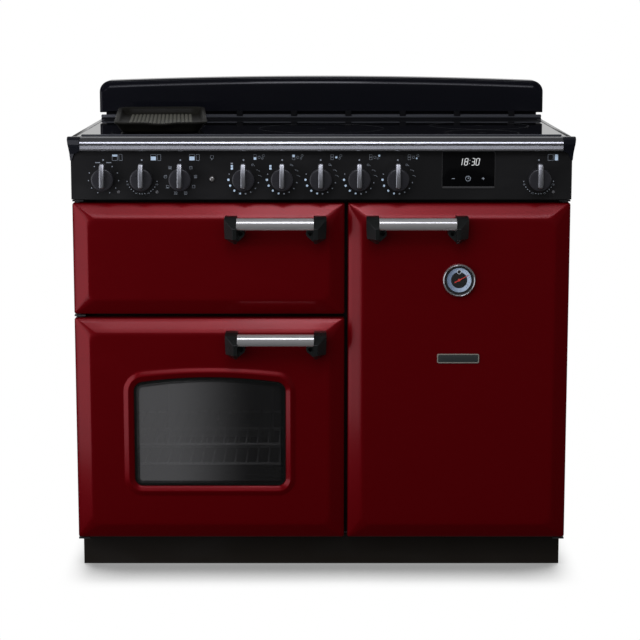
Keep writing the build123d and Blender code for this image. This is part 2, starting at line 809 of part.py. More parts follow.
# Rotary switches and the light switch on the back of the fascia
with BuildPart() as control_switches:
    for knob_x in knob_positions.values():
        with BuildSketch(front(fascia_back_y)):
            with Locations((knob_x, knob_axis_z)):
                Circle(switch_radius)
                Circle(spindle_radius + running_fit, mode=Mode.SUBTRACT)
        extrude(amount=-switch_depth)
    head_bore = light_button_head - light_button_stand - body_sheet + light_button_travel + knob_gap
    with BuildSketch(front(fascia_back_y)):
        with Locations((light_button_x, knob_axis_z)):
            Circle(light_switch_radius)
            Circle(plunger_radius + running_fit, mode=Mode.SUBTRACT)
    extrude(amount=-light_switch_depth)
    with BuildSketch(front(fascia_back_y)):
        with Locations((light_button_x, knob_axis_z)):
            Circle(light_button_radius + hole_gap)
    extrude(amount=-head_bore, mode=Mode.SUBTRACT)
save(control_switches.part, "control_switches")

# Oven light push button
with BuildPart() as light_button:
    button_back_y = fascia_front_y - light_button_stand + light_button_head
    with BuildSketch(front(button_back_y)):
        with Locations((light_button_x, knob_axis_z)):
            Circle(light_button_radius)
    extrude(amount=light_button_head)
    with BuildSketch(front(button_back_y)):
        with Locations((light_button_x, knob_axis_z)):
            Circle(plunger_radius)
    extrude(amount=-plunger_length)
save(light_button.part, "light_button")

# Rotary knobs: a round drum, a bar grip and a spindle into the switch
for knob_name, knob_x in knob_positions.items():
    drum_back_y = fascia_front_y - knob_gap
    grip_length = grip_above_axis + grip_below_axis
    grip_z = knob_axis_z + (grip_above_axis - grip_below_axis) / 2
    with BuildPart() as knob:
        with BuildSketch(front(drum_back_y - knob_drum)):
            with Locations((knob_x, grip_z)):
                RectangleRounded(grip_width, grip_length, grip_edge_radius)
        extrude(amount=knob_projection - knob_drum)
        fillet(knob.faces().sort_by(Axis.Y)[0].edges(), grip_edge_radius)
        with BuildSketch(front(drum_back_y)):
            with Locations((knob_x, knob_axis_z)):
                Circle(knob_radius)
        extrude(amount=knob_drum)
        with BuildSketch(front(drum_back_y)):
            with Locations((knob_x, knob_axis_z)):
                Circle(spindle_radius)
        extrude(amount=-spindle_length)
    save(knob.part, knob_name)

# Cast griddle, ribbed front to back, with a pour dip in its front rim
griddle_x = -glass_half + griddle_edge_gap + griddle_width / 2
griddle_y = glass_front_y + griddle_front_gap + griddle_length / 2
griddle_plane = Plane((griddle_x, griddle_y, hob_height + seat_gap)).rotated((0, 0, griddle_turn))
griddle_inside = (griddle_width - 2 * griddle_rim, griddle_length - 2 * griddle_rim)
with BuildPart() as griddle:
    with BuildSketch(griddle_plane):
        RectangleRounded(griddle_width, griddle_length, griddle_corner)
    extrude(amount=griddle_height)
    with BuildSketch(griddle_plane.offset(griddle_height - griddle_recess)):
        RectangleRounded(*griddle_inside, griddle_corner - griddle_rim)
    extrude(amount=griddle_recess, mode=Mode.SUBTRACT)
    with BuildSketch(griddle_plane):
        RectangleRounded(*griddle_inside, griddle_corner - griddle_rim)
    extrude(amount=griddle_height - griddle_recess - griddle_floor, mode=Mode.SUBTRACT)
    rib_count = int((griddle_inside[0] - griddle_rib_pitch) / griddle_rib_pitch)
    rib_length = griddle_inside[1] - 2 * griddle_channel
    with BuildSketch(griddle_plane.offset(griddle_height - griddle_recess)):
        with GridLocations(griddle_rib_pitch, 1, rib_count, 1):
            Rectangle(griddle_rib_width, rib_length)
    extrude(amount=griddle_rib_height)
    with BuildSketch(griddle_plane.offset(griddle_height - pour_dip_depth)):
        with Locations((0, -griddle_length / 2)):
            Rectangle(pour_dip_width, 2 * griddle_rim)
    extrude(amount=pour_dip_depth, mode=Mode.SUBTRACT)
save(griddle.part, "griddle")


def hinge_plate_limits(hinge_x, back_y_limit):
    """Width and depth limits of a hinge plate round its pin."""
    plate_x = grown((hinge_x, hinge_x), hinge_plate_width / 2)
    return plate_x, (hinge_y - hinge_edge_distance, back_y_limit)


# Hinge plates with their pins: a door's pins stand at its lower and upper edges
bottom_plate_z = plinth_top - hinge_plate
top_plate_z = door_top + swing_gap
middle_plate_z = main_door_top + swing_gap
bottom_pin = (bottom_plate_z, base_top + hinge_pin_reach)
top_pin = (door_top - hinge_pin_reach, top_plate_z + hinge_plate)
middle_pin = (main_door_top - hinge_pin_reach, grill_door_bottom + hinge_pin_reach)
hinges = (
    (left_hinge_x, bottom_plate_z, plinth_front_y - hole_gap, bottom_pin),
    (left_hinge_x, middle_plate_z, frame_face_y, middle_pin),
    (left_hinge_x, top_plate_z, frame_face_y, top_pin),
    (right_hinge_x, bottom_plate_z, plinth_front_y - hole_gap, bottom_pin),
    (right_hinge_x, top_plate_z, frame_face_y, top_pin),
)
with BuildPart() as hinge_pins:
    for hinge_x, plate_z, plate_back_y, pin_z in hinges:
        plate_x, plate_y = hinge_plate_limits(hinge_x, plate_back_y)
        block(plate_x, plate_y, (plate_z, plate_z + hinge_plate))
        with Locations((hinge_x, hinge_y, middle(pin_z))):
            Cylinder(hinge_pin_radius, span(pin_z))
save(hinge_pins.part, "hinge_pins")


def window_outline(margin):
    """Points of the arched window in the door, moved outwards by a margin."""
    centre_x = middle(left_column)
    half = window_width / 2 + margin
    top = main_rows[1] - window_drop + margin
    low = top - window_side_height - 2 * margin
    return centre_x, half, low, top


def window_block(back, front_face, margin, taper=0):
    """Solid in the shape of the arched window between two depths, moved outwards by a margin."""
    centre_x, half, low, top = window_outline(margin)
    left = centre_x - half
    right = centre_x + half
    with BuildPart() as arched:
        with BuildSketch(front(back)) as arched_outline:
            with BuildLine():
                Polyline((left, top), (left, low), (right, low), (right, top))
                ThreePointArc((right, top), (centre_x, top + window_rise), (left, top))
            make_face()
            fillet(arched_outline.vertices(), window_radius + margin)
        extrude(amount=back - front_face, taper=taper)
    return arched.part


def door_panel(x, z, hinge_x, has_window):
    """Pressed door skin: a raised flat centre in a sloping border, hollow behind."""
    place = (middle(x), middle(z))
    with BuildPart() as panel:
        for inset, mode in ((0, Mode.ADD), (door_skin, Mode.SUBTRACT)):
            outer = (span(x) - 2 * inset, span(z) - 2 * inset)
            border = door_border + inset / 2
            inner = (span(x) - 2 * border, span(z) - 2 * border)
            with BuildSketch(front(liner_front_y)):
                with Locations(place):
                    RectangleRounded(*outer, door_edge_radius - inset / 2)
            extrude(amount=liner_front_y - door_edge_y - inset, mode=mode)
            with BuildSketch(front(door_edge_y + inset)):
                with Locations(place):
                    RectangleRounded(*outer, door_edge_radius - inset / 2)
            with BuildSketch(front(door_face_y + inset)):
                with Locations(place):
                    RectangleRounded(*inner, door_centre_radius - inset / 2)
            loft(ruled=True, mode=mode)
        with Locations((hinge_x, hinge_y, middle(z))):
            Cylinder(hinge_pin_radius + hole_gap, span(z), mode=Mode.SUBTRACT)
        if has_window:
            add(window_rim_block)
            add(window_cut, mode=Mode.SUBTRACT)
    return panel.part


def door_liner(x, z, hinge_x, has_window):
    """Inner door sheet with a drilled hinge block at its lower and upper corner."""
    plate = liner_sheet / 2
    block_x = grown((hinge_x, hinge_x), hinge_block_width / 2)
    block_y = (hinge_y - hinge_edge_distance, liner_front_y)
    inside_z = grown(z, -door_skin - hole_gap)
    with BuildPart() as liner:
        block(grown(x, -plate), (liner_front_y, door_back_y), grown(z, -plate))
        block(block_x, block_y, (inside_z[0], inside_z[0] + hinge_block_height))
        block(block_x, block_y, (inside_z[1] - hinge_block_height, inside_z[1]))
        with Locations((hinge_x, hinge_y, middle(z))):
            Cylinder(hinge_pin_radius + running_fit, span(z), mode=Mode.SUBTRACT)
        if has_window:
            add(window_cut, mode=Mode.SUBTRACT)
    return liner.part


# Shapes of the window: its raised rim, and the opening through skin and liner
window_front_y = door_face_y - window_rim_height
window_rim_block = window_block(door_face_y, window_front_y, window_rim, window_rim_taper)
window_cut = window_block(door_back_y, window_front_y, 0)

# Door skins and liners
doors = {
    "grill": (left_column, grill_rows, left_hinge_x, False),
    "main": (left_column, main_rows, left_hinge_x, True),
    "tall": (tall_column, tall_rows, right_hinge_x, False),
}
for door_name, door_sizes in doors.items():
    save(door_panel(*door_sizes), f"{door_name}_door_panel")
    save(door_liner(*door_sizes), f"{door_name}_door_liner")

# Window panes, one behind the door skin and one on the liner
with BuildPart() as main_door_glass:
    centre_x, pane_half, pane_low, pane_top = window_outline(pane_margin)
    pane_x = grown((centre_x, centre_x), pane_half)
    pane_z = (pane_low, pane_top + window_rise)
    block(pane_x, (door_face_y + door_skin, door_face_y + door_skin + glass_pane), pane_z)
    block(pane_x, (liner_front_y - glass_pane, liner_front_y), pane_z)
save(main_door_glass.part, "main_door_glass")

# Door handles: a steel bar in two faceted brackets
handles = {
    "grill": (left_column[1] - handle_end_inset - handle_length, door_top - handle_drop),
    "main": (left_column[1] - handle_end_inset - handle_length, main_door_top - handle_drop),
    "tall": (tall_column[0] + handle_end_inset, door_top - handle_drop),
}
for door_name, (handle_x, bar_z) in handles.items():
    bracket_top = bar_z + bracket_rise
    bracket_low = bar_z - bracket_fall
    shoulder_z = bracket_low + bracket_shoulder
    bar_x = grown((handle_x, handle_x + handle_length), -bracket_width + bar_socket)
    with BuildPart() as brackets:
        for start in (handle_x, handle_x + handle_length - bracket_width):
            with BuildSketch(front(door_face_y)):
                with BuildLine():
                    Polyline(
                        (start, bracket_top),
                        (start, shoulder_z),
                        (start + bracket_width / 2, bracket_low),
                        (start + bracket_width, shoulder_z),
                        (start + bracket_width, bracket_top),
                        close=True,
                    )
                make_face()
            extrude(amount=door_face_y - front_y)
        with BuildSketch(Plane.YZ.offset(handle_x)):
            with BuildLine():
                Polyline(
                    (door_face_y, bracket_top),
                    (door_face_y, bracket_low),
                    (front_y + finger_gap, bracket_low),
                    (front_y, shoulder_z),
                    (front_y, bracket_top - bracket_facet),
                    (front_y + bracket_facet, bracket_top),
                    close=True,
                )
            make_face()
        extrude(amount=handle_length, mode=Mode.INTERSECT)
        with BuildSketch(Plane.YZ.offset(bar_x[0])):
            with Locations((bar_y, bar_z)):
                Circle(handle_bar_diameter / 2 - body_sheet + running_fit)
        extrude(amount=span(bar_x), mode=Mode.SUBTRACT)
    save(brackets.part, f"{door_name}_door_handle_brackets")
    with BuildPart() as handle_bar:
        with BuildSketch(Plane.YZ.offset(bar_x[0])):
            with Locations((bar_y, bar_z)):
                Circle(handle_bar_diameter / 2 - body_sheet)
        extrude(amount=span(bar_x))
        with BuildSketch(Plane.YZ.offset(handle_x + bracket_width)):
            with Locations((bar_y, bar_z)):
                Circle(handle_bar_diameter / 2)
        extrude(amount=handle_length - 2 * bracket_width)
    save(handle_bar.part, f"{door_name}_door_handle_bar")

# Dial thermometer on the tall door: a case with a lens over the needle
dial_x = middle(tall_column)
dial_z = door_top - dial_drop
dial_front_y = door_face_y - dial_height
dial_floor_y = dial_front_y + dial_recess
with BuildPart() as dial_case:
    with BuildSketch(front(door_face_y)):
        with Locations((dial_x, dial_z)):
            Circle(dial_radius)
    extrude(amount=dial_height)
    chamfer(dial_case.faces().sort_by(Axis.Y)[0].edges(), dial_chamfer)
    with BuildSketch(front(dial_floor_y)):
        with Locations((dial_x, dial_z)):
            Circle(dial_lens_radius)
    extrude(amount=dial_recess, mode=Mode.SUBTRACT)
    with BuildSketch(front(dial_floor_y)):
        with Locations((dial_x, dial_z)):
            Circle(needle_pivot_radius + running_fit)
    extrude(amount=dial_recess - dial_height + knob_gap, mode=Mode.SUBTRACT)
with BuildPart() as dial_glass:
    with BuildSketch(front(dial_front_y + dial_lens)):
        with Locations((dial_x, dial_z)):
            Circle(dial_lens_radius)
    extrude(amount=dial_lens)
save(Compound(children=[dial_case.part, dial_glass.part]), "thermometer")

# Thermometer needle on its pivot
needle_back_y = dial_floor_y - needle_lift
with BuildPart() as thermometer_needle:
    with BuildSketch(front(needle_back_y)):
        with Locations(Location((dial_x, dial_z, 0), (0, 0, needle_angle))):
            Circle(needle_hub_radius)
            with Locations(((needle_length - needle_tail) / 2, 0)):
                Rectangle(needle_length + needle_tail, needle_width)
    extrude(amount=needle_thickness)
    with BuildSketch(front(needle_back_y)):
        with Locations((dial_x, dial_z)):
            Circle(needle_pivot_radius)
    extrude(amount=needle_back_y - dial_floor_y - needle_pivot_depth)
save(thermometer_needle.part, "thermometer_needle")
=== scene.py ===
"""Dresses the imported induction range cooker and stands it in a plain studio."""

import json
import logging
import math
from collections.abc import Iterable, Sequence
from dataclasses import dataclass
from enum import Enum

import bmesh
import bpy
from mathutils import Matrix, Vector


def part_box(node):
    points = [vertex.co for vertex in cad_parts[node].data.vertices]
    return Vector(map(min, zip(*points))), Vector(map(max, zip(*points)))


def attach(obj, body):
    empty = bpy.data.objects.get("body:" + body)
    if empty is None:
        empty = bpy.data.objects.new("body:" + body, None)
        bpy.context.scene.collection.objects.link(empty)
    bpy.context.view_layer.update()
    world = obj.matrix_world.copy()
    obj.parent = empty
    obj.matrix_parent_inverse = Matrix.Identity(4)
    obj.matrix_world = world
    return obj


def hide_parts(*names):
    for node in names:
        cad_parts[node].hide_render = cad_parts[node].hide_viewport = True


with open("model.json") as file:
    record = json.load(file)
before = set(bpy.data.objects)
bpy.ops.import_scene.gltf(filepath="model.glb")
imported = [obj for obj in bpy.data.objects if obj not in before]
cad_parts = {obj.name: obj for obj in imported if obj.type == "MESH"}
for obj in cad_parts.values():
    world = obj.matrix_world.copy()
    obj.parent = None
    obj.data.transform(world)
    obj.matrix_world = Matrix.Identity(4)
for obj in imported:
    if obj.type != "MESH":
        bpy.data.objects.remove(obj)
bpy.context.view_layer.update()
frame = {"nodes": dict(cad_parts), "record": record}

LOG = logging.getLogger("range_cooker")

# Sizes are in millimetres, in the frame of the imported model, but those of the studio in metres
MILLIMETRE = 0.001
BODY = "cooker_body"

Triple = tuple[float, float, float]
Colour = Triple
Flat = tuple[float, float]
Point = Sequence[float]
Tree = bpy.types.NodeTree
Node = bpy.types.Node
Socket = bpy.types.NodeSocket
GroupStart = tuple[Tree, Node, Node, Node]
Join = tuple[Node, int | str, Node, int | str]
Ends = tuple[float, float, float, float]

# The corners of a square about its middle
SQUARE = ((-1, -1), (1, -1), (1, 1), (-1, 1))


def limits(node: str) -> tuple[Vector, Vector]:
    """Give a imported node's corners.

    Args:
        node: The node's name.

    Returns:
        The lowest and the highest corner, in millimetres.
    """
    low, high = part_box(node)
    return low / MILLIMETRE, high / MILLIMETRE


def between(start: float, end: float, share: float) -> float:
    """Step from start to end by a share."""
    return start + (end - start) * share


def rounded(
    width: float, height: float, radius: float, rise: float = 0.0,
    side: int = 8, corner: int = 7, foot: float | None = None,
) -> list[Flat]:
    """Draw a rounded rectangle about its middle, its top edge swelling up by rise.

    Args:
        width: Width over all.
        height: Height over all, without the rise.
        radius: Corner radius.
        rise: How far the middle of the top edge stands above its ends.
        side: Steps along each straight side.
        corner: Steps round each corner.
        foot: Radius of the two lower corners, if it differs.

    Returns:
        The outline, anticlockwise from the lower end of the right side.
    """
    half, up = width / 2, height / 2
    top = min(radius, half, up)
    low = top if foot is None else foot
    corners = [(1, -1, low), (1, 1, top), (-1, 1, top), (-1, -1, low)]
    arcs = []
    for turn, (right, over, size) in enumerate(corners):
        middle = (right * (half - size), over * (up - size))
        angles = [math.radians(90 * (turn - 1) + 90 * step / corner) for step in range(corner + 1)]
        rays = [(math.cos(angle), math.sin(angle)) for angle in angles]
        arcs.append([(middle[0] + size * u, middle[1] + size * v) for u, v in rays])
    outline = []
    for turn in range(4):
        first, second = arcs[turn][-1], arcs[(turn + 1) % 4]
        for step in range(side):
            outline.append(tuple(between(first[axis], second[0][axis], step / side) for axis in (0, 1)))
        outline += second[:-1]
    return [(u, v + rise * (1 - (u / half) ** 2) if v > 0 else v) for u, v in outline]


def circle(radius: float, count: int = 48) -> list[Flat]:
    """Draw a circle of count points about the origin."""
    angles = [math.tau * step / count for step in range(count)]
    return [(radius * math.cos(angle), radius * math.sin(angle)) for angle in angles]


def even_points(corners: Sequence[Flat], count: int) -> list[Flat]:
    """Spread points evenly round a closed outline of straight runs.

    Args:
        corners: The outline's corners in order.
        count: How many points.

    Returns:
        The points, from the first corner.
    """
    runs = [(Vector(a), Vector(b)) for a, b in zip(corners, (*corners[1:], corners[0]))]
    step = sum((b - a).length for a, b in runs) / count
    points, ahead = [], 0.0
    for start, end in runs:
        length = (end - start).length
        while ahead < length - 1e-6:
            points.append(tuple(start.lerp(end, ahead / length)))
            ahead += step
        ahead -= length
    return points[:count]


def matched_circle(outline: Sequence[Flat], middle: Flat) -> list[Flat]:
    """Draw a circle of radius 1 whose points lie in the same directions as an outline's.

    Args:
        outline: The outline round it.
        middle: The circle's middle.

    Returns:
        One point of the circle for each of the outline's.
    """
    rays = [(Vector(point) - Vector(middle)).normalized() for point in outline]
    return [tuple(ray) for ray in rays]


def facing(outline: Iterable[Flat], x: float, y: float, z: float) -> list[Point]:
    """Stand an outline upright, facing the front, about a point.

    Args:
        outline: The flat outline, across and up.
        x: Its middle across.
        y: Its depth.
        z: Its middle in height.

    Returns:
        The outline's points in space.
    """
    return [(x + u, y, z + v) for u, v in outline]


def lying(outline: Iterable[Flat], x: float, y: float, z: float) -> list[Point]:
    """Lay an outline flat about a point.

    Args:
        outline: The flat outline, across and back.
        x: Its middle across.
        y: Its middle in depth.
        z: Its height.

    Returns:
        The outline's points in space.
    """
    return [(x + u, y + v, z) for u, v in outline]


def add_nodes(tree: Tree, *kinds: str) -> list[Node]:
    """Add shader nodes to a tree, each by the end of its type's name."""
    return [tree.nodes.new("ShaderNode" + kind) for kind in kinds]


def wire(tree: Tree, *joins: Join) -> None:
    """Link the nodes of a tree.

    Args:
        tree: The node tree.
        *joins: Each link's first node and its output, then its second node and its input.
    """
    for first, output, second, entry in joins:
        tree.links.new(first.outputs[output], second.inputs[entry])


def ease_edges(item: bpy.types.Object, width: float, segments: int, crease: float) -> None:
    """Round an object's sharp edges.

    Args:
        item: The object.
        width: Width of the rounding in millimetres.
        segments: Steps across it.
        crease: Angle in degrees above which an edge is sharp.
    """
    bevel = item.modifiers.new("eased_edges", "BEVEL")
    bevel.width = width * MILLIMETRE
    bevel.segments = segments
    bevel.limit_method = "ANGLE"
    bevel.angle_limit = math.radians(crease)
    bevel.harden_normals = True


class Effect(Enum):
    """Surface effects that materials share, each one a node group."""

    GRAIN = "surface_grain"
    FLECK = "enamel_fleck"
    WEAR_AND_SHEEN = "edge_wear_and_sheen"
    SMEAR = "wiped_smears"
    FADE = "side_fade"


class EffectLibrary:
    """Builds each shared node group once and hands it out by its effect."""

    def __init__(self) -> None:
        """Start with no group built."""
        self.built: dict[Effect, Tree] = {}
        self.makers = {
            Effect.GRAIN: self.make_grain,
            Effect.FLECK: self.make_fleck,
            Effect.WEAR_AND_SHEEN: self.make_wear_and_sheen,
            Effect.SMEAR: self.make_smear,
            Effect.FADE: self.make_fade,
        }

    def get(self, effect: Effect) -> Tree:
        """Give an effect's node group, building it at its first use."""
        if effect not in self.built:
            self.built[effect] = self.makers[effect]()
        return self.built[effect]

    @staticmethod
    def start(effect: Effect, inputs: dict[str, float | Triple]) -> GroupStart:
        """Open a node group with its sockets, its object coordinates and its ends.

        Args:
            effect: The effect that the group gives.
            inputs: Each input's name and default, a number or a vector.

        Returns:
            The group, and its input, output and coordinate nodes.
        """
        group = bpy.data.node_groups.new(effect.value, "ShaderNodeTree")
        for label, default in inputs.items():
            kind = "NodeSocketFloat" if isinstance(default, (int, float)) else "NodeSocketVector"
            group.interface.new_socket(name=label, in_out="INPUT", socket_type=kind).default_value = default
        group.interface.new_socket(name="Mask", in_out="OUTPUT", socket_type="NodeSocketFloat")
        kinds = ("NodeGroupInput", "NodeGroupOutput", "ShaderNodeTexCoord")
        return group, *(group.nodes.new(kind) for kind in kinds)

    @staticmethod
    def stretched(group: Tree, given: Node, where: Node) -> Node:
        """Multiply the object coordinates by the group's Stretch input.

        Args:
            group: The group being built.
            given: Its input node.
            where: Its coordinate node.

        Returns:
            The multiplying node.
        """
        stretch = group.nodes.new("ShaderNodeVectorMath")
        stretch.operation = "MULTIPLY"
        wire(group, (where, "Object", stretch, 0), (given, "Stretch", stretch, 1))
        return stretch

    def make_grain(self) -> Tree:
        """Build noise that can be drawn out along an axis: peel, brushing, casting.

        Returns:
            The node group.
        """
        inputs = {"Scale": 400.0, "Detail": 3.0, "Stretch": (1.0, 1.0, 1.0)}
        group, given, out, where = self.start(Effect.GRAIN, inputs)
        stretch = self.stretched(group, given, where)
        noise = group.nodes.new("ShaderNodeTexNoise")
        wire(group, (stretch, 0, noise, "Vector"), (given, "Scale", noise, "Scale"))
        wire(group, (given, "Detail", noise, "Detail"), (noise, "Fac", out, "Mask"))
        return group

    def make_fleck(self) -> Tree:
        """Build small scattered flecks.

        Returns:
            The node group.
        """
        group, given, out, where = self.start(Effect.FLECK, {"Scale": 500.0, "Size": 0.18})
        cells, test = add_nodes(group, "TexVoronoi", "Math")
        test.operation = "LESS_THAN"
        wire(group, (where, "Object", cells, "Vector"), (given, "Scale", cells, "Scale"))
        wire(group, (cells, "Distance", test, 0), (given, "Size", test, 1), (test, 0, out, "Mask"))
        return group

    def make_wear_and_sheen(self) -> Tree:
        """Build a mask of the raised edges, broken up by noise.

        Returns:
            The node group.
        """
        group, given, out, where = self.start(Effect.WEAR_AND_SHEEN, {"Start": 0.53, "End": 0.62, "Scale": 160.0})
        shape, edge, noise, blend = add_nodes(group, "NewGeometry", "MapRange", "TexNoise", "Math")
        blend.operation = "MULTIPLY"
        wire(group, (shape, "Pointiness", edge, "Value"), (given, "Start", edge, "From Min"))
        wire(group, (given, "End", edge, "From Max"), (where, "Object", noise, "Vector"))
        wire(group, (given, "Scale", noise, "Scale"), (edge, "Result", blend, 0))
        wire(group, (noise, "Fac", blend, 1), (blend, 0, out, "Mask"))
        return group

    def make_smear(self) -> Tree:
        """Build broad soft patches, as a cloth leaves on a wiped surface.

        Returns:
            The node group.
        """
        group, given, out, where = self.start(Effect.SMEAR, {"Scale": 7.0, "Stretch": (1.0, 1.0, 2.5)})
        stretch = self.stretched(group, given, where)
        noise, sharpen = add_nodes(group, "TexNoise", "MapRange")
        noise.inputs["Detail"].default_value = 5.0
        noise.inputs["Distortion"].default_value = 0.8
        sharpen.inputs["From Min"].default_value = 0.42
        sharpen.inputs["From Max"].default_value = 0.72
        wire(group, (stretch, 0, noise, "Vector"), (given, "Scale", noise, "Scale"))
        wire(group, (noise, "Fac", sharpen, "Value"), (sharpen, "Result", out, "Mask"))
        return group

    def make_fade(self) -> Tree:
        """Build a soft fade across a surface, from one place along X to another.

        Returns:
            The node group.
        """
        group, given, out, where = self.start(Effect.FADE, {"Start": 0.0, "End": 1.0})
        split, fade = add_nodes(group, "SeparateXYZ", "MapRange")
        fade.interpolation_type = "SMOOTHSTEP"
        wire(group, (where, "Object", split, 0), (split, "X", fade, "Value"))
        wire(group, (given, "Start", fade, "From Min"), (given, "End", fade, "From Max"))
        wire(group, (fade, "Result", out, "Mask"))
        return group


EFFECTS = EffectLibrary()


@dataclass(frozen=True)
class Grain:
    """How a finish's fine grain lies.

    Attributes:
        scale: Noise scale over a metre.
        stretch: How the grain is squeezed along each axis.
        detail: Octaves of noise.
        bump: Bump strength.
        depth: Bump height in millimetres.
    """

    scale: float = 400.0
    stretch: Triple = (1.0, 1.0, 1.0)
    detail: float = 3.0
    bump: float = 0.15
    depth: float = 0.1


ALONG_X = (0.02, 1.0, 1.0)
ALONG_Y = (1.0, 0.02, 1.0)
ALONG_Z = (1.0, 1.0, 0.02)
PEEL = Grain(scale=260.0, detail=2.0, bump=0.05, depth=0.06)
SATIN = Grain(scale=900.0, detail=2.0, bump=0.12, depth=0.04)
MOULDED = Grain(scale=1500.0, detail=2.0, bump=0.25, depth=0.05)
CAST = Grain(scale=520.0, detail=6.0, bump=0.55, depth=0.25)
POLISHED = Grain(scale=120.0, detail=2.0, bump=0.03, depth=0.03)
WOOL = Grain(scale=140.0, stretch=(1.0, 1.0, 3.0), detail=8.0, bump=0.9, depth=1.5)
WOVEN = Grain(scale=700.0, bump=0.6, depth=0.4)


def brushed(along: Triple, bump: float) -> Grain:
    """Draw a grain out along one axis, as brushing does."""
    return Grain(scale=1400.0, stretch=along, detail=4.0, bump=bump, depth=0.03)


LONG_BRUSH = brushed(ALONG_X, 0.02)


@dataclass(frozen=True)
class Finish:
    """One surface finish: two colours that the grain mixes, gloss, and effects.

    Attributes:
        colour: Linear colour at the grain's low places.
        shade: Linear colour at the grain's high places.
        roughness: Roughness from the clean to the smeared places.
        smear: Noise scale of the wiped smears.
        specular: Specular level, 0.5 being glass-like.
        fleck: Colour of enamel flecks, if it has any.
        fade: Colour that it fades to across its width, if it does.
        fade_reach: Where along X the fade starts and ends, in metres.
        wear_and_sheen: Colour of worn edges, and of edges with a painted highlight, if they show.
        alpha: How much of it covers.
        glow: Emission strength of its own colour.
    """

    name: str
    colour: Colour
    shade: Colour
    roughness: Flat
    metallic: float = 0.0
    grain: Grain = SATIN
    smear: float = 7.0
    coat: float = 0.0
    coat_roughness: float = 0.05
    specular: float = 0.5
    fleck: Colour | None = None
    fade: Colour | None = None
    fade_reach: Flat = (0.0, 1.0)
    wear_and_sheen: Colour | None = None
    alpha: float = 1.0
    glow: float = 0.0

    @staticmethod
    def effect(material: bpy.types.Material, effect: Effect, **values: float | Triple) -> Socket:
        """Place a shared effect in a material.

        Args:
            material: The material being built.
            effect: Which effect.
            **values: Its input values by socket name.

        Returns:
            The effect's mask socket.
        """
        node = material.node_tree.nodes.new("ShaderNodeGroup")
        node.node_tree = EFFECTS.get(effect)
        for label, value in values.items():
            node.inputs[label].default_value = value
        return node.outputs["Mask"]

    @staticmethod
    def mix(material: bpy.types.Material, mask: Socket, first: Colour | Socket, second: Colour) -> Socket:
        """Mix a colour, or what is mixed so far, with another by a mask.

        Args:
            material: The material being built.
            mask: Where the second colour shows.
            first: The colour or socket below.
            second: The colour above.

        Returns:
            The mixed colour's socket.
        """
        node = material.node_tree.nodes.new("ShaderNodeMix")
        node.data_type = "RGBA"
        factor, below, above = node.inputs[0], node.inputs[6], node.inputs[7]
        material.node_tree.links.new(mask, factor)
        if isinstance(first, Socket):
            material.node_tree.links.new(first, below)
        else:
            below.default_value = (*first, 1.0)
        above.default_value = (*second, 1.0)
        return node.outputs[2]

    def build(self) -> bpy.types.Material:
        """Give the finish's material, building its nodes at its first use.

        Returns:
            The material.
        """
        label = self.name + "_finish"
        material = bpy.data.materials.get(label)
        if material:
            return material
        material = bpy.data.materials.new(label)
        material.use_nodes = True
        links = material.node_tree.links
        shader = material.node_tree.nodes["Principled BSDF"]
        plain = {
            "Metallic": self.metallic,
            "Coat Weight": self.coat,
            "Coat Roughness": self.coat_roughness,
            "Specular IOR Level": self.specular,
            "Alpha": self.alpha,
            "Emission Strength": self.glow,
        }
        for socket, value in plain.items():
            shader.inputs[socket].default_value = value
        lie = self.grain
        grain = self.effect(material, Effect.GRAIN, Scale=lie.scale, Detail=lie.detail, Stretch=lie.stretch)
        colour = self.mix(material, grain, self.colour, self.shade)
        if self.fleck:
            colour = self.mix(material, self.effect(material, Effect.FLECK), colour, self.fleck)
        if self.wear_and_sheen:
            colour = self.mix(material, self.effect(material, Effect.WEAR_AND_SHEEN), colour, self.wear_and_sheen)
        if self.fade:
            start, end = self.fade_reach
            across = self.effect(material, Effect.FADE, Start=start, End=end)
            colour = self.mix(material, across, colour, self.fade)
        links.new(colour, shader.inputs["Base Color"])
        if self.glow:
            links.new(colour, shader.inputs["Emission Color"])
        gloss, bump = add_nodes(material.node_tree, "MapRange", "Bump")
        gloss.inputs["To Min"].default_value, gloss.inputs["To Max"].default_value = self.roughness
        links.new(self.effect(material, Effect.SMEAR, Scale=self.smear), gloss.inputs["Value"])
        links.new(gloss.outputs["Result"], shader.inputs["Roughness"])
        bump.inputs["Strength"].default_value = lie.bump
        bump.inputs["Distance"].default_value = lie.depth * MILLIMETRE
        links.new(grain, bump.inputs["Height"])
        links.new(bump.outputs["Normal"], shader.inputs["Normal"])
        return material


DOOR_ENAMEL = Finish(
    "door_enamel", (0.150, 0.0002, 0.0026), (0.162, 0.0003, 0.0034), (0.30, 0.35), metallic=0.6, grain=PEEL,
    coat=0.36, coat_roughness=0.16, specular=0.1,
)
BLACK_ENAMEL = Finish("black_enamel", (0.0062, 0.0062, 0.0064), (0.0082, 0.0082, 0.0086), (0.34, 0.46))
PLINTH_ENAMEL = Finish("plinth_enamel", (0.0105, 0.0079, 0.0056), (0.0130, 0.0100, 0.0072), (0.4, 0.55))
SIDE_ENAMEL = Finish(
    "side_enamel", (0.010, 0.010, 0.0105), (0.014, 0.014, 0.0146), (0.30, 0.44), grain=PEEL,
    wear_and_sheen=(0.05, 0.05, 0.05),
)
SPLASH_ENAMEL = Finish(
    "splash_enamel", (0.0034, 0.0036, 0.0056), (0.0044, 0.0047, 0.0072), (0.14, 0.22), grain=PEEL, coat=0.2,
    coat_roughness=0.06, specular=0.2,
)
HOB_GLASS = Finish(
    "hob_glass", (0.0030, 0.0030, 0.0036), (0.0042, 0.0042, 0.0050), (0.02, 0.06), grain=POLISHED, smear=4.0
)
ZONE_PRINT = Finish("zone_print", (0.055, 0.057, 0.062), (0.075, 0.078, 0.085), (0.12, 0.2))
STEEL_TRIM = Finish(
    "steel_trim", (0.44, 0.445, 0.47), (0.52, 0.525, 0.55), (0.16, 0.22), metallic=0.9, grain=LONG_BRUSH
)
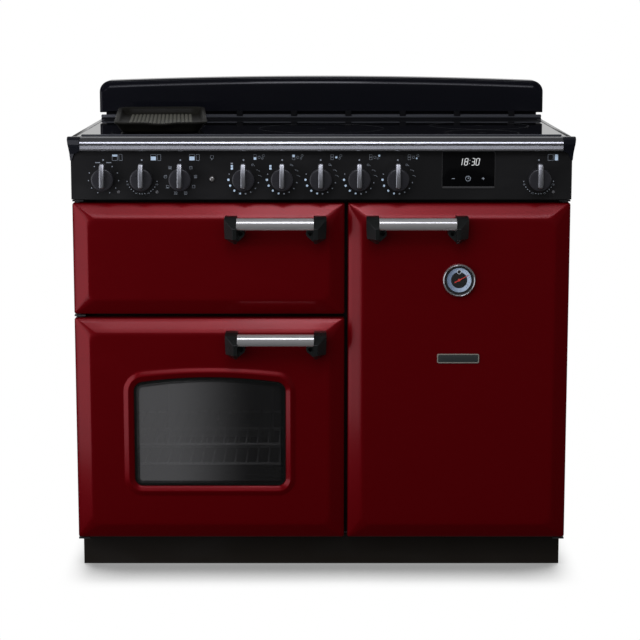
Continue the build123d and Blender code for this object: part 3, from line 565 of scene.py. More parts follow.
# Copies of the bar's steel with painted light: a dark band of painted reflection and a bright crown of
# painted highlight
BAND_PAINTED_DARK_REFLECTION = Finish(
    "band_painted_dark_reflection", (0.185, 0.187, 0.196), (0.225, 0.227, 0.236), (0.16, 0.22), metallic=0.9, grain=LONG_BRUSH
)
CROWN_PAINTED_HIGHLIGHT = Finish(
    "crown_painted_highlight", (0.82, 0.825, 0.85), (0.90, 0.905, 0.93), (0.16, 0.22), metallic=0.9, grain=LONG_BRUSH
)
SIDE_STEEL = Finish(
    "side_steel", (0.40, 0.40, 0.41), (0.48, 0.48, 0.48), (0.20, 0.28), metallic=1.0,
    grain=brushed(ALONG_Y, 0.02),
)
DULL_BLACK = Finish(
    "dull_black", (0.0030, 0.0031, 0.0040), (0.0040, 0.0041, 0.0052), (0.6, 0.75), specular=0.12
)
RAIL_STEEL = Finish(
    "rail_steel", (0.032, 0.034, 0.041), (0.044, 0.047, 0.056), (0.3, 0.4), grain=brushed(ALONG_X, 0.04)
)
HANDLE_STEEL = Finish(
    "handle_steel", (0.58, 0.575, 0.57), (0.68, 0.675, 0.67), (0.16, 0.22), metallic=0.72, grain=LONG_BRUSH
)
BRACKET_BLACK = Finish(
    "bracket_black", (0.0062, 0.0070, 0.0068), (0.0090, 0.0101, 0.0098), (0.26, 0.36), grain=MOULDED,
    wear_and_sheen=(0.025, 0.03, 0.03),
)
CAP_BLACK = Finish(
    "cap_black", (0.0048, 0.0054, 0.0080), (0.0070, 0.0078, 0.0112), (0.22, 0.32), grain=MOULDED,
    specular=0.3,
)
# The pale rims are partly wear and partly a painted highlight along the drum's rim
KNOB_BLACK = Finish(
    "knob_black", (0.0165, 0.0165, 0.0195), (0.0220, 0.0220, 0.0260), (0.26, 0.36), grain=MOULDED,
    wear_and_sheen=(0.075, 0.075, 0.08),
)
KNOB_SILVER = Finish(
    "knob_silver", (0.42, 0.43, 0.45), (0.50, 0.51, 0.53), (0.28, 0.36), metallic=0.95,
    grain=brushed(ALONG_Z, 0.05),
)
BUTTON_CHROME = Finish(
    "button_chrome", (0.44, 0.43, 0.42), (0.52, 0.51, 0.50), (0.14, 0.2), metallic=0.8, grain=POLISHED
)
PANEL_PRINT = Finish("panel_print", (0.50, 0.65, 0.82), (0.58, 0.74, 0.92), (0.45, 0.6))
FAINT_PRINT = Finish("faint_print", (0.20, 0.225, 0.26), (0.25, 0.28, 0.32), (0.45, 0.6))
TOUCH_PRINT = Finish("touch_print", (0.24, 0.27, 0.31), (0.29, 0.33, 0.38), (0.4, 0.5))
DISPLAY_LIP = Finish("display_lip", (0.030, 0.030, 0.031), (0.042, 0.042, 0.043), (0.25, 0.35))
NEON_LENS = Finish(
    "neon_lens", (0.075, 0.075, 0.08), (0.10, 0.10, 0.105), (0.12, 0.2), grain=POLISHED, coat=0.5
)
DISPLAY_GLASS = Finish(
    "display_glass", (0.0016, 0.0016, 0.0018), (0.0024, 0.0024, 0.0027), (0.05, 0.10), grain=POLISHED,
    specular=0.4,
)
CLOCK_DIGITS = Finish("clock_digits", (0.62, 0.63, 0.62), (0.70, 0.71, 0.70), (0.4, 0.5), glow=0.25)
OVEN_ENAMEL = Finish(
    "oven_enamel", (0.040, 0.041, 0.044), (0.055, 0.056, 0.060), (0.20, 0.34), grain=PEEL,
    fleck=(0.16, 0.16, 0.17),
)
RACK_CHROME = Finish("rack_chrome", (0.78, 0.78, 0.79), (0.86, 0.86, 0.86), (0.2, 0.3), metallic=0.25)
GALVANISED = Finish(
    "galvanised", (0.36, 0.37, 0.38), (0.52, 0.53, 0.54), (0.38, 0.55), metallic=0.9,
    grain=Grain(scale=60.0, detail=4.0, bump=0.08, depth=0.05), smear=18.0,
)
# Smoked tint with a painted reflection: light grey at the left, fading dark towards +X across fade_reach
WINDOW_SMOKE_AND_PAINTED_REFLECTION = Finish(
    "window_smoke_and_painted_reflection", (0.100, 0.100, 0.100), (0.108, 0.108, 0.108), (0.03, 0.07), grain=POLISHED, alpha=0.55,
    fade=(0.0125, 0.0125, 0.0125), fade_reach=(-0.310, -0.132),
)
WINDOW_CLEAR = Finish(
    "window_clear", (0.06, 0.062, 0.062), (0.07, 0.072, 0.072), (0.02, 0.05), grain=POLISHED, alpha=0.06
)
WINDOW_BORDER = Finish(
    "window_border", (0.0060, 0.0066, 0.0062), (0.0080, 0.0088, 0.0083), (0.1, 0.2), grain=POLISHED,
    alpha=0.72,
)
WINDOW_SHADE = Finish(
    "window_shade", (0.0060, 0.0066, 0.0062), (0.0080, 0.0088, 0.0083), (0.1, 0.2), grain=POLISHED,
    alpha=0.3,
)
SEAL_RUBBER = Finish("seal_rubber", (0.030, 0.030, 0.032), (0.060, 0.060, 0.064), (0.6, 0.75), grain=WOVEN)
MINERAL_WOOL = Finish("mineral_wool", (0.36, 0.31, 0.19), (0.56, 0.50, 0.35), (0.85, 0.95), grain=WOOL)
ELEMENT_ROD = Finish(
    "element_rod", (0.060, 0.055, 0.050), (0.11, 0.10, 0.09), (0.45, 0.6), metallic=0.8, grain=CAST
)
COPPER_COIL = Finish(
    "copper_coil", (0.45, 0.20, 0.10), (0.68, 0.36, 0.20), (0.25, 0.4), metallic=1.0,
    grain=Grain(scale=300.0, detail=5.0, bump=0.5, depth=0.3),
)
CIRCUIT_BOARD = Finish(
    "circuit_board", (0.012, 0.085, 0.035), (0.02, 0.13, 0.055), (0.35, 0.5), fleck=(0.4, 0.38, 0.3)
)
MOTOR_CAST = Finish(
    "motor_cast", (0.34, 0.34, 0.34), (0.48, 0.48, 0.48), (0.4, 0.55), metallic=0.8, grain=CAST
)
FAN_STEEL = Finish("fan_steel", (0.36, 0.36, 0.36), (0.50, 0.50, 0.50), (0.28, 0.4), metallic=0.95)
GRIDDLE_CAST = Finish(
    "griddle_cast", (0.0055, 0.0053, 0.0042), (0.0110, 0.0106, 0.0085), (0.40, 0.52), grain=CAST,
    specular=0.1,
)
GRIDDLE_FLOOR = Finish(
    "griddle_floor", (0.062, 0.062, 0.050), (0.085, 0.084, 0.068), (0.46, 0.6), grain=CAST, specular=0.1
)
SWITCH_PLASTIC = Finish(
    "switch_plastic", (0.12, 0.12, 0.12), (0.17, 0.17, 0.17), (0.5, 0.62), grain=MOULDED
)
FOOT_PLASTIC = Finish(
    "foot_plastic", (0.016, 0.016, 0.016), (0.026, 0.026, 0.026), (0.5, 0.65), grain=MOULDED
)
HINGE_STEEL = Finish("hinge_steel", (0.045, 0.045, 0.047), (0.07, 0.07, 0.072), (0.35, 0.45), metallic=0.6)
GAUGE_CHROME = Finish(
    "gauge_chrome", (0.56, 0.565, 0.57), (0.64, 0.645, 0.65), (0.10, 0.16), metallic=0.85, grain=POLISHED
)
DIAL_BLACK = Finish("dial_black", (0.0045, 0.0045, 0.0048), (0.0065, 0.0065, 0.0070), (0.4, 0.5))
DIAL_BLUE = Finish(
    "dial_blue", (0.14, 0.20, 0.31), (0.17, 0.24, 0.36), (0.35, 0.5),
    fade=(0.47, 0.57, 0.73), fade_reach=(0.248, 0.298),
)
DIAL_MARK = Finish("dial_mark", (0.50, 0.56, 0.64), (0.58, 0.64, 0.72), (0.35, 0.5))
DIAL_PRINT = Finish("dial_print", (0.11, 0.14, 0.20), (0.14, 0.18, 0.25), (0.4, 0.5))
NEEDLE_RED = Finish("needle_red", (0.55, 0.03, 0.02), (0.68, 0.05, 0.035), (0.3, 0.4))
GAUGE_LENS = Finish(
    "gauge_lens", (0.10, 0.10, 0.10), (0.12, 0.12, 0.12), (0.02, 0.05), grain=POLISHED, alpha=0.05
)
LAMP_GLASS = Finish("lamp_glass", (0.62, 0.60, 0.53), (0.74, 0.72, 0.65), (0.3, 0.45), coat=0.4)
BARE_PLATE = Finish(
    "bare_plate", (0.020, 0.024, 0.024), (0.028, 0.033, 0.033), (0.30, 0.40), grain=brushed(ALONG_X, 0.04)
)
PLATE_RIM = Finish("plate_rim", (0.21, 0.20, 0.175), (0.27, 0.26, 0.23), (0.2, 0.3), metallic=0.3)
SCREW_STEEL = Finish("screw_steel", (0.34, 0.34, 0.35), (0.46, 0.46, 0.47), (0.3, 0.42), metallic=1.0)


class Draft:
    """Gathers rings of points, in millimetres, into the mesh of one piece after another."""

    def __init__(self) -> None:
        """Start with an empty mesh."""
        self.work = bmesh.new()

    def skin(self, rings: list[list[Point]], caps: bool = True, closed: bool = False) -> None:
        """Join rings of equal length, each to the next, by quads.

        Args:
            rings: The rings in order.
            caps: Whether the first and last rings are filled.
            closed: Whether the last ring joins the first, which leaves out the caps.
        """
        made = [[self.work.verts.new(point) for point in ring] for ring in rings]
        pairs = list(zip(made, made[1:]))
        if closed:
            pairs.append((made[-1], made[0]))
        for first, second in pairs:
            for i in range(len(first)):
                following = (i + 1) % len(first)
                self.work.faces.new((first[i], first[following], second[following], second[i]))
        if caps and not closed:
            self.work.faces.new(made[0])
            self.work.faces.new(made[-1])

    def prism(self, outline: Iterable[Flat], x: float, z: float, front: float, back: float) -> None:
        """Raise an upright outline from a back depth to a front depth.

        Args:
            outline: The flat outline.
            x: Its middle across.
            z: Its middle in height.
            front: Depth of its front.
            back: Depth of its back.
        """
        points = list(outline)
        self.skin([facing(points, x, back, z), facing(points, x, front, z)])

    def band(
        self, outer: list[Flat], inner: list[Flat], x: float, z: float, front: float, back: float
    ) -> None:
        """Raise the band between two upright outlines of equal length.

        Args:
            outer: The outer outline.
            inner: The inner outline.
            x: Their middle across.
            z: Their middle in height.
            front: Depth of the front.
            back: Depth of the back.
        """
        rings = [(outer, back), (outer, front), (inner, front), (inner, back)]
        self.skin([facing(outline, x, depth, z) for outline, depth in rings], closed=True)

    def block(self, low: Point, high: Point, edge: float = 0.0) -> None:
        """Add a box, its upright corners rounded and its top edge eased.

        Args:
            low: Its lowest corner.
            high: Its highest corner.
            edge: The rounding.
        """
        width, length = high[0] - low[0], high[1] - low[1]
        x, y = (low[0] + high[0]) / 2, (low[1] + high[1]) / 2
        rings = []
        for inset, height in ((edge, low[2]), (0.0, low[2] + edge), (0.0, high[2] - edge), (edge, high[2])):
            outline = rounded(width - 2 * inset, length - 2 * inset, max(edge, 0.2), side=1, corner=3)
            rings.append(lying(outline, x, y, height))
        self.skin(rings if edge else [rings[0], rings[-1]])

    def lathe(self, profile: list[Flat], x: float, z: float, count: int = 56) -> None:
        """Turn a profile about a front-to-back axis.

        Args:
            profile: Radius and depth of each ring.
            x: The axis across.
            z: The axis in height.
            count: Points round each ring.
        """
        self.skin([facing(circle(radius, count), x, depth, z) for radius, depth in profile])

    def rod(self, start: Point, end: Point, radius: float, count: int = 10, ease: float = 0.0) -> None:
        """Add a straight round rod.

        Args:
            start: Middle of its first end.
            end: Middle of its second end.
            radius: Its radius.
            count: Points round it.
            ease: Rounding of its ends.
        """
        first, last = Vector(start), Vector(end)
        along = (last - first).normalized()
        across = along.orthogonal().normalized()
        over = along.cross(across)
        stations = [(first, radius), (last, radius)]
        if ease:
            stations = [(first, radius - ease), (first + along * ease, radius)]
            stations += [(last - along * ease, radius), (last, radius - ease)]
        rings = []
        for middle, size in stations:
            rings.append([middle + across * u + over * v for u, v in circle(size, count)])
        self.skin(rings)

    def piece(
        self, name: str, body: str, slot: str, finish: Finish,
        stands_for: Sequence[str] = (), crease: float = 30.0, bevel: float = 0.0,
    ) -> bpy.types.Object:
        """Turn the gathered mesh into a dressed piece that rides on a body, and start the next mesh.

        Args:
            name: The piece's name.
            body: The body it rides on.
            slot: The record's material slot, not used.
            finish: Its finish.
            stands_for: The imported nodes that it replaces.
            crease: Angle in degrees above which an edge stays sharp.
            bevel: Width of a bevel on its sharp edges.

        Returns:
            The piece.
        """
        bmesh.ops.recalc_face_normals(self.work, faces=self.work.faces)
        bmesh.ops.transform(self.work, matrix=Matrix.Scale(MILLIMETRE, 4), verts=self.work.verts)
        mesh = bpy.data.meshes.new(name)
        self.work.to_mesh(mesh)
        self.work.free()
        self.work = bmesh.new()
        mesh.shade_smooth()
        mesh.set_sharp_from_angle(angle=math.radians(crease))
        mesh.materials.append(finish.build())
        piece = bpy.data.objects.new(name, mesh)
        bpy.context.scene.collection.objects.link(piece)
        if bevel:
            ease_edges(piece, bevel, 3, crease)
        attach(piece, body)
        if stands_for:
            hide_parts(*stands_for)
        LOG.info("%s rides on %s with %d faces", name, body, len(mesh.polygons))
        return piece


@dataclass
class DoorSkin:
    """A pressed door skin: a broad bevel round a flat middle, and a window where it has one.

    Attributes:
        node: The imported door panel.
        body: The body it rides on.
        window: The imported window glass, for the door that has one.
    """

    node: str
    body: str
    window: str | None = None
    bevel_width: float = 30.0
    bevel_depth: float = 14.0
    edge_radius: float = 4.0
    middle_radius: float = 19.0
    window_width: float = 304.0
    window_height: float = 211.0
    window_rise: float = 12.0
    window_radius: float = 16.0
    window_low: float = 185.0

    def face(self) -> float:
        """Give the depth of the flat middle, which the window's bead stands in front of."""
        return limits("grill_door_panel")[0].y

    def bevel_profile(self) -> list[Flat]:
        """Trace the bevel from the side wall to the flat middle.

        Returns:
            The inset from the door's edge and the depth behind the face of each ring.
        """
        slope = self.bevel_depth / self.bevel_width
        plain = [(inset, self.bevel_depth - slope * inset) for inset in (2.6, 10.0, 20.0, 27.0)]
        rolled_edge = [(0.0, 17.5), (0.2, 15.4), (0.9, 14.1)]
        eased_middle = [(29.0, 0.72), (30.8, 0.26), (33.0, 0.0), (38.0, 0.0)]
        return rolled_edge + plain + eased_middle

    def window_profile(self) -> list[Flat]:
        """Trace the bead round the window, from the flat middle into the opening.

        Returns:
            The margin outside the opening and the height above the face of each ring.
        """
        foot = [(24.0, 0.0), (21.4, 0.0), (20.2, 0.22), (18.8, 0.78), (15.4, 2.3), (12.3, 3.6)]
        crown = [(11.3, 3.9), (10.5, 4.0), (9.7, 3.85)]
        inside = [(8.7, 3.4), (5.5, 1.95), (2.2, 0.45), (1.2, -0.1), (0.4, -1.2), (0.0, -2.4)]
        return foot + crown + inside

    def window_ring(self, margin: float, depth: float) -> list[Point]:
        """Place the window's outline, grown by a margin, at a depth."""
        width, height = self.window_width + 2 * margin, self.window_height + 2 * margin
        outline = rounded(width, height, self.window_radius + margin, self.window_rise, 12, 9)
        low, high = limits(self.window)
        return facing(outline, (low.x + high.x) / 2, depth, self.window_low + self.window_height / 2)

    def build(self) -> None:
        """Build the skin as one closed shell."""
        low, high = limits(self.node)
        face = self.face()
        x, z = (low.x + high.x) / 2, (low.z + high.z) / 2
        rings = []
        for inset, drop in [(0.0, high.y - face)] + self.bevel_profile():
            share = min(inset / self.bevel_width, 1.0)
            radius = between(self.edge_radius, self.middle_radius, share)
            width, height = high.x - low.x - 2 * inset, high.z - low.z - 2 * inset
            rings.append(facing(rounded(width, height, radius, side=12, corner=9), x, face + drop, z))
        if self.window:
            rings += [self.window_ring(margin, face - rise) for margin, rise in self.window_profile()]
            rings.append(self.window_ring(0.0, high.y))
        draft = Draft()
        draft.skin(rings, closed=bool(self.window))
        draft.piece(self.node + "_skin", self.body, "door_enamel", DOOR_ENAMEL, (self.node,), crease=50.0)


@dataclass
class OvenWindow:
    """The main door's two panes, the outer one with a black printed border."""

    door: DoorSkin
    border: float = 5.0
    shade: float = 10.0
    ink: float = 0.1
    pane_margin: float = 6.0
    pane: float = 3.0

    def build(self) -> None:
        """Build the smoked outer pane with its painted reflection, light at the left and fading dark
        towards +X, its border and the clear inner pane.
        """
        low, high = limits(self.door.window)
        body = self.door.body
        draft = Draft()
        draft.skin(self.pane_rings(low.y))
        draft.piece("main_door_outer_pane", body, "window_glass", WINDOW_SMOKE_AND_PAINTED_REFLECTION, (self.door.window,))
        bands = (
            ("border", self.pane_margin, -self.border, WINDOW_BORDER),
            ("shade", -self.border, -self.shade, WINDOW_SHADE),
        )
        ink = low.y - self.ink
        for name, outside, inside, finish in bands:
            rings = [(outside, low.y), (outside, ink), (inside, ink), (inside, low.y)]
            draft.skin([self.door.window_ring(margin, depth) for margin, depth in rings], closed=True)
            draft.piece("main_door_window_" + name, body, "window_glass", finish)
        draft.skin(self.pane_rings(high.y - self.pane))
        draft.piece("main_door_inner_pane", body, "window_glass", WINDOW_CLEAR)

    def pane_rings(self, front: float) -> list[list[Point]]:
        """Place a pane's front and back edge, from the depth of its front."""
        return [self.door.window_ring(self.pane_margin, depth) for depth in (front, front + self.pane)]


@dataclass
class DoorHandle:
    """A steel bar held between two faceted black brackets, each with a screw boss under the bar."""

    door: str
    body: str
    bracket_width: float = 25.0
    bracket_ease: float = 0.9
    bar_groove: float = 0.5
    bar_seat: float = 0.2
    boss_middle: Flat = (7.2, -20.5)
    boss_hole: float = 3.8
    boss_out: float = 30.0
    hole_depth: float = 9.0

    def build(self) -> None:
        """Build the bar and its two brackets."""
        bar_low, bar_high = limits(self.door + "_door_handle_bar")
        low, high = limits(self.door + "_door_handle_brackets")
        radius = (bar_high.z - bar_low.z) / 2
        y, z = (bar_low.y + bar_high.y) / 2, (bar_low.z + bar_high.z) / 2
        draft = Draft()
        reach = self.bracket_width - self.bar_seat
        draft.rod((low.x + reach, y, z), (high.x - reach, y, z), radius, 56, self.bar_groove)
        node = self.door + "_door_handle_bar"
        draft.piece(node + "_steel", self.body, "handle_steel", HANDLE_STEEL, (node,))
        cast, bosses = Draft(), Draft()
        for outer, inward in ((low.x, 1.0), (high.x, -1.0)):
            self.bracket(cast, outer, inward, high.y, z)
            self.boss(bosses, outer + inward * self.bracket_width, inward, high.y, z)
        node = self.door + "_door_handle_brackets"
        slot, ease = "bracket_black", self.bracket_ease
        cast.piece(node + "_cast", self.body, slot, BRACKET_BLACK, (node,), crease=20.0, bevel=ease)
        bosses.piece(node + "_bosses", self.body, slot, BRACKET_BLACK, crease=40.0)

    def bracket(self, draft: Draft, outer: float, inward: float, face: float, z: float) -> None:
        """Add one faceted bracket that tapers to a point below.

        Args:
            draft: The mesh to add to.
            outer: The outer edge across.
            inward: 1 if the bar lies towards +X, or -1.
            face: Depth of the door face.
            z: Height of the bar's axis.
        """
        # Each level: height from the bar's axis, then how far in and how far out each corner stands
        levels = (
            (12.5, ((0.5, 0.0), (0.5, 20.0), (1.0, 20.1), (17.0, 22.0), (25.0, 22.0), (25.0, 0.0))),
            (8.0, ((0.0, 0.0), (0.0, 32.0), (0.6, 32.1), (17.0, 34.0), (25.0, 34.0), (25.0, 0.0))),
            (-8.0, ((0.0, 0.0), (0.0, 33.0), (16.4, 51.4), (17.0, 52.0), (25.0, 51.5), (25.0, 0.0))),
            (-29.5, ((1.0, 0.0), (1.0, 30.0), (16.9, 48.4), (17.5, 49.0), (25.0, 48.0), (25.0, 0.0))),
            (-40.5, ((17.0, 0.0), (17.2, 22.0), (18.9, 29.3), (19.5, 30.0), (24.5, 28.0), (24.5, 0.0))),
        )
        rings = []
        for height, corners in levels:
            rings.append([(outer + inward * across, face - out, z + height) for across, out in corners])
        draft.skin(rings)

    def boss(self, draft: Draft, edge: float, inward: float, face: float, z: float) -> None:
        """Add the web under the bar, from a bracket's point up to a rounded boss with a sunken screw hole.

        Args:
            draft: The mesh to add to.
            edge: The bracket's inner edge across.
            inward: 1 if the bar lies towards +X, or -1.
            face: Depth of the door face.
            z: Height of the bar's axis.
        """
        # How far in and how far above the bar's axis each corner of the web stands
        corners = ((-1.5, -36.5), (1.5, -36.0), (13.6, -25.5), (15.6, -20.0), (15.0, -15.5))
        corners += ((12.0, -12.4), (-1.5, -12.4))
        outline = even_points(corners, 40)
        across, up = self.boss_middle
        round_hole = matched_circle(outline, self.boss_middle)
        hole = [(across + self.boss_hole * u, up + self.boss_hole * v) for u, v in round_hole]
        # Each station: its outline, how far out it stands and its scale
        stations = ((outline, 0.0, 1.0), (outline, self.boss_out - 1.2, 1.0), (outline, self.boss_out, 0.9))
        stations += ((hole, self.boss_out, 1.0), (hole, self.boss_out - self.hole_depth, 1.0))
        rings = []
        for shape, out, scale in stations:
            points = [(across + (u - across) * scale, up + (v - up) * scale) for u, v in shape]
            rings.append([(edge + inward * u, face - out, z + v) for u, v in points])
        draft.skin(rings)


@dataclass
class Knob:
    """One rotary control: a deep black drum with a satin silver bar across its face."""

    name: str
    drum_radius: float = 22.0
    drum_depth: float = 28.0
    bar_width: float = 9.6
    bar_height: float = 48.0
    bar_corner: float = 3.4
    bar_lean: float = 8.5
    bar_lift: float = 8.0
    bar_stand: float = 40.0

    def axis(self) -> Flat:
        """Give the knob's axis, across and in height."""
        low, high = limits(self.name)
        return (low.x + high.x) / 2, low.z + self.drum_radius

    def build(self) -> None:
        """Build the drum and its bar."""
        x, z = self.axis()
        panel = limits("control_fascia")[0].y
        size, deep = self.drum_radius, self.drum_depth
        profile = [(size - 2.5, 0.5), (size - 1.2, 0.7), (size - 0.9, 3.0), (size - 0.3, deep - 4.0)]
        profile += [(size, deep - 2.6), (size - 0.15, deep - 1.6), (size - 0.7, deep - 0.8)]
        profile += [(size - 1.6, deep - 0.3), (size - 3.0, deep), (size - 6.0, deep)]
        draft = Draft()
        draft.lathe([(radius, panel - out) for radius, out in profile], x, z, 64)
        draft.piece(self.name + "_drum", self.name, "knob", KNOB_BLACK, (self.name,), crease=55.0)
        rings = []
        stand, bottom = self.bar_stand, z + self.bar_lift - self.bar_height / 2
        # Each step: how far out it stands, and what it adds to the bar's width and height
        steps = ((deep - 6.0, 1.4, 1.4), (deep, 0.8, 0.8), (stand - 3.0, 0.0, 0.0))
        steps += ((stand - 1.2, -0.5, -0.5), (stand - 0.3, -1.6, -1.6), (stand, -3.2, -3.2))
        steps += ((stand + 0.1, -8.8, -3.4),)
        for out, wide, tall in steps:
            corner = max(0.3, self.bar_corner + wide / 2)
            outline = rounded(self.bar_width + wide, self.bar_height + tall, corner, side=8, corner=6)
            lean = self.bar_lean * max(0.0, out - deep) / (stand - deep)
            points = facing(outline, x, panel - out, z + self.bar_lift)
            rings.append([(u, v + lean * ((w - bottom) / self.bar_height) ** 2, w) for u, v, w in points])
        draft.skin(rings)
        draft.piece(self.name + "_bar", self.name, "knob", KNOB_SILVER, crease=50.0)


class MarkSet(Enum):
    """Which printed marks go round a knob."""

    GRILL = "grill"
    HEAT = "heat"
    FUNCTION = "function"
    ZONE = "zone"


class Oven(Enum):
    """Which oven a little plan of the ovens shows filled."""

    UPPER = "upper"
    LOWER = "lower"
    RIGHT = "right"


@dataclass
class PanelPrint:
    """The pale marks printed on the control panel, as thin raised ink."""

    mark_radius: float = 30.0
    index_rise: float = 37.0
    large_dot: float = 1.9
    ink: float = 0.2
    sink: float = 0.1

    def __post_init__(self) -> None:
        """Find the panel's face and start a mesh for each ink."""
        self.face = limits("control_fascia")[0].y
        self.front, self.back = self.face - self.ink, self.face + self.sink
        self.faint = Draft()
        self.bright = Draft()

    def shape(self, outline: Iterable[Flat], x: float, z: float, bright: bool = False) -> None:
        """Print a filled outline about a point, in bright or faint ink."""
        sheet = self.bright if bright else self.faint
        sheet.prism(outline, x, z, self.front, self.back)

    def dot(self, x: float, z: float, radius: float) -> None:
        """Print a dot, in bright ink if it is a large one."""
        self.shape(circle(radius, 14), x, z, radius >= self.large_dot)

    def ring(self, x: float, z: float, radius: float, line: float = 0.5) -> None:
        """Print a ring of a line's width."""
        self.faint.band(circle(radius, 24), circle(radius - line, 24), x, z, self.front, self.back)

    def bar(
        self, x: float, z: float, width: float, height: float, lean: float = 0.0, bright: bool = False
    ) -> None:
        """Print a straight bar, leaning by an angle in degrees."""
        turn = Matrix.Rotation(math.radians(lean), 2)
        corners = [(u * width / 2, v * height / 2) for u, v in SQUARE]
        self.shape([tuple(turn @ Vector(corner)) for corner in corners], x, z, bright)

    def box(self, x: float, z: float, width: float, height: float, line: float = 0.6) -> None:
        """Print an open box of a line's width."""
        outer = rounded(width, height, 0.8, side=1, corner=2)
        inner = rounded(width - 2 * line, height - 2 * line, 0.4, side=1, corner=2)
        self.faint.band(outer, inner, x, z, self.front, self.back)

    def round_knob(self, knob: Knob, angle: float, radius: float | None = None) -> Flat:
        """Find a place on the circle of marks round a knob.

        Args:
            knob: The knob.
            angle: Degrees clockwise from the top.
            radius: The circle's radius, if it isn't the usual one.

        Returns:
            The place across and in height.
        """
        x, z = knob.axis()
        reach = radius or self.mark_radius
        return x + reach * math.sin(math.radians(angle)), z + reach * math.cos(math.radians(angle))

    def oven_sign(self, knob: Knob, filled: Oven) -> None:
        """Print the little plan of the ovens, with one of them filled.

        Args:
            knob: The knob that it belongs to.
            filled: Which oven is filled.
        """
        x, z = knob.axis()
        left, right, middle = x + 23.0, x + 34.4, z + 42.2
        self.box(left, middle, 11.0, 12.4)
        self.box(right, middle, 7.0, 12.4)
        if filled is Oven.UPPER:
            self.bar(left, middle + 3.8, 10.0, 4.2, bright=True)
        elif filled is Oven.LOWER:
            self.bar(left, middle - 2.0, 10.0, 7.6, bright=True)
        else:
            self.bar(right, middle, 6.0, 11.4, bright=True)

    def zone_sign(self, knob: Knob, filled: int) -> None:
        """Print the little plan of the five hob zones, with one of them filled.

        Args:
            knob: The knob that it belongs to.
            filled: Which zone is filled, counted from the left.
        """
        x, z = knob.axis()
        self.box(x + 22.7, z + 45.4, 5.6, 5.2, 0.45)
        self.box(x + 22.7, z + 40.0, 5.6, 5.2, 0.45)
        circles = ((30.9, 42.4, 2.6), (37.2, 40.3, 1.9), (39.4, 45.8, 2.5))
        for across, up, radius in circles:
            self.ring(x + across, z + up, radius, 0.45)
        if filled < 2:
            self.bar(x + 22.7, z + (40.0, 45.4)[filled], 4.8, 4.4, bright=True)
        else:
            across, up, radius = circles[(0, 2, 1)[filled - 2]]
            self.dot(x + across, z + up, radius)

    def pan_signs(self, knob: Knob) -> None:
        """Print the three small heat-keeping signs at a zone knob's upper right."""
        for count, angle in enumerate((35.0, 60.0, 80.0)):
            x, z = self.round_knob(knob, angle, 33.0)
            if count == 0:
                self.ring(x - 1.6, z + 0.6, 1.9, 0.45)
            else:
                self.bar(x - 2.8, z + 0.9, 2.4, 0.5, -25.0)
                self.bar(x - 0.9, z + 0.9, 2.4, 0.5, 25.0)
            self.bar(x + 1.7, z - 0.6, 3.6, 0.6, -42.0)

    def function_signs(self, knob: Knob) -> None:
        """Print the eight small oven function boxes."""
        for count, angle in enumerate((43.0, 82.0, 121.0, 161.0, 199.0, 238.0, 278.0, 317.0)):
            x, z = self.round_knob(knob, angle)
            self.box(x, z, 5.8, 5.8, 0.55)
            if count % 3 == 0:
                self.bar(x, z + 1.2, 3.6, 0.7)
            if count % 3 == 1:
                self.ring(x, z, 1.5, 0.5)
            if count % 2:
                self.bar(x, z - 1.6, 3.8, 0.7)

    def number(self, text: str, x: float, z: float, height: float, lean: float = 0.0) -> None:
        """Print a number in seven strokes a digit.

        Args:
            text: The digits.
            x: Middle across.
            z: Middle in height.
            height: Height of a digit.
            lean: How far the digits lean, as a share of their height.
        """
        for stroke in seven_strokes(text, height, lean):
            self.shape(stroke, x, z)

    def round_marks(self, knob: Knob, marks: MarkSet, stack: int) -> None:
        """Print the marks round one knob.

        Args:
            knob: The knob.
            marks: Which marks it has.
            stack: How many boost squares stand at a zone knob's upper left.
        """
        x, z = knob.axis()
        self.dot(x, z + self.index_rise, 1.7)
        if marks is MarkSet.GRILL:
            for side in (-1, 1):
                self.bar(x + side * 11.0, z + 31.9, 9.6, 1.7)
                for angle in (36.0, 67.5, 97.0, 127.5, 157.0):
                    self.dot(*self.round_knob(knob, side * angle), 1.2)
        elif marks is MarkSet.HEAT:
            for angle in (100.0, 123.5, 134.5, 145.0, 170.0, 180.0, 190.0, 215.0, 225.5, 236.5, 260.0):
                self.dot(*self.round_knob(knob, angle), 1.05)
            for angle, text in ((248.5, "100"), (203.0, "150"), (157.0, "200"), (111.5, "250")):
                self.number(text, *self.round_knob(knob, angle, self.mark_radius + 1.0), 2.9)
        elif marks is MarkSet.FUNCTION:
            self.function_signs(knob)
        else:
            sizes = (1.1, 2.3, 2.2, 2.1, 1.9, 1.6, 1.3, 1.2, 1.2)
            for size, angle in zip(sizes, (288.0, 266.0, 243.0, 218.0, 193.5, 173.0, 152.6, 129.8, 105.0)):
                self.dot(*self.round_knob(knob, angle), size)
            for count in range(stack):
                self.bar(x - 23.0, z + 20.2 + 5.0 * count, 4.2, 4.2 - 0.6 * count, bright=count < 2)
            self.pan_signs(knob)

    def bulb_sign(self, x: float, z: float) -> None:
        """Print the little lamp outline over the light button."""
        self.ring(x, z, 3.6, 0.5)
        self.bar(x, z - 4.4, 2.6, 0.5)
        self.bar(x, z - 5.5, 2.0, 0.5)

    def build(self) -> None:
        """Turn all that was printed into one piece for each ink."""
        self.faint.piece("control_panel_faint_print", BODY, "display", FAINT_PRINT)
        self.bright.piece("control_panel_bright_print", BODY, "display", PANEL_PRINT)


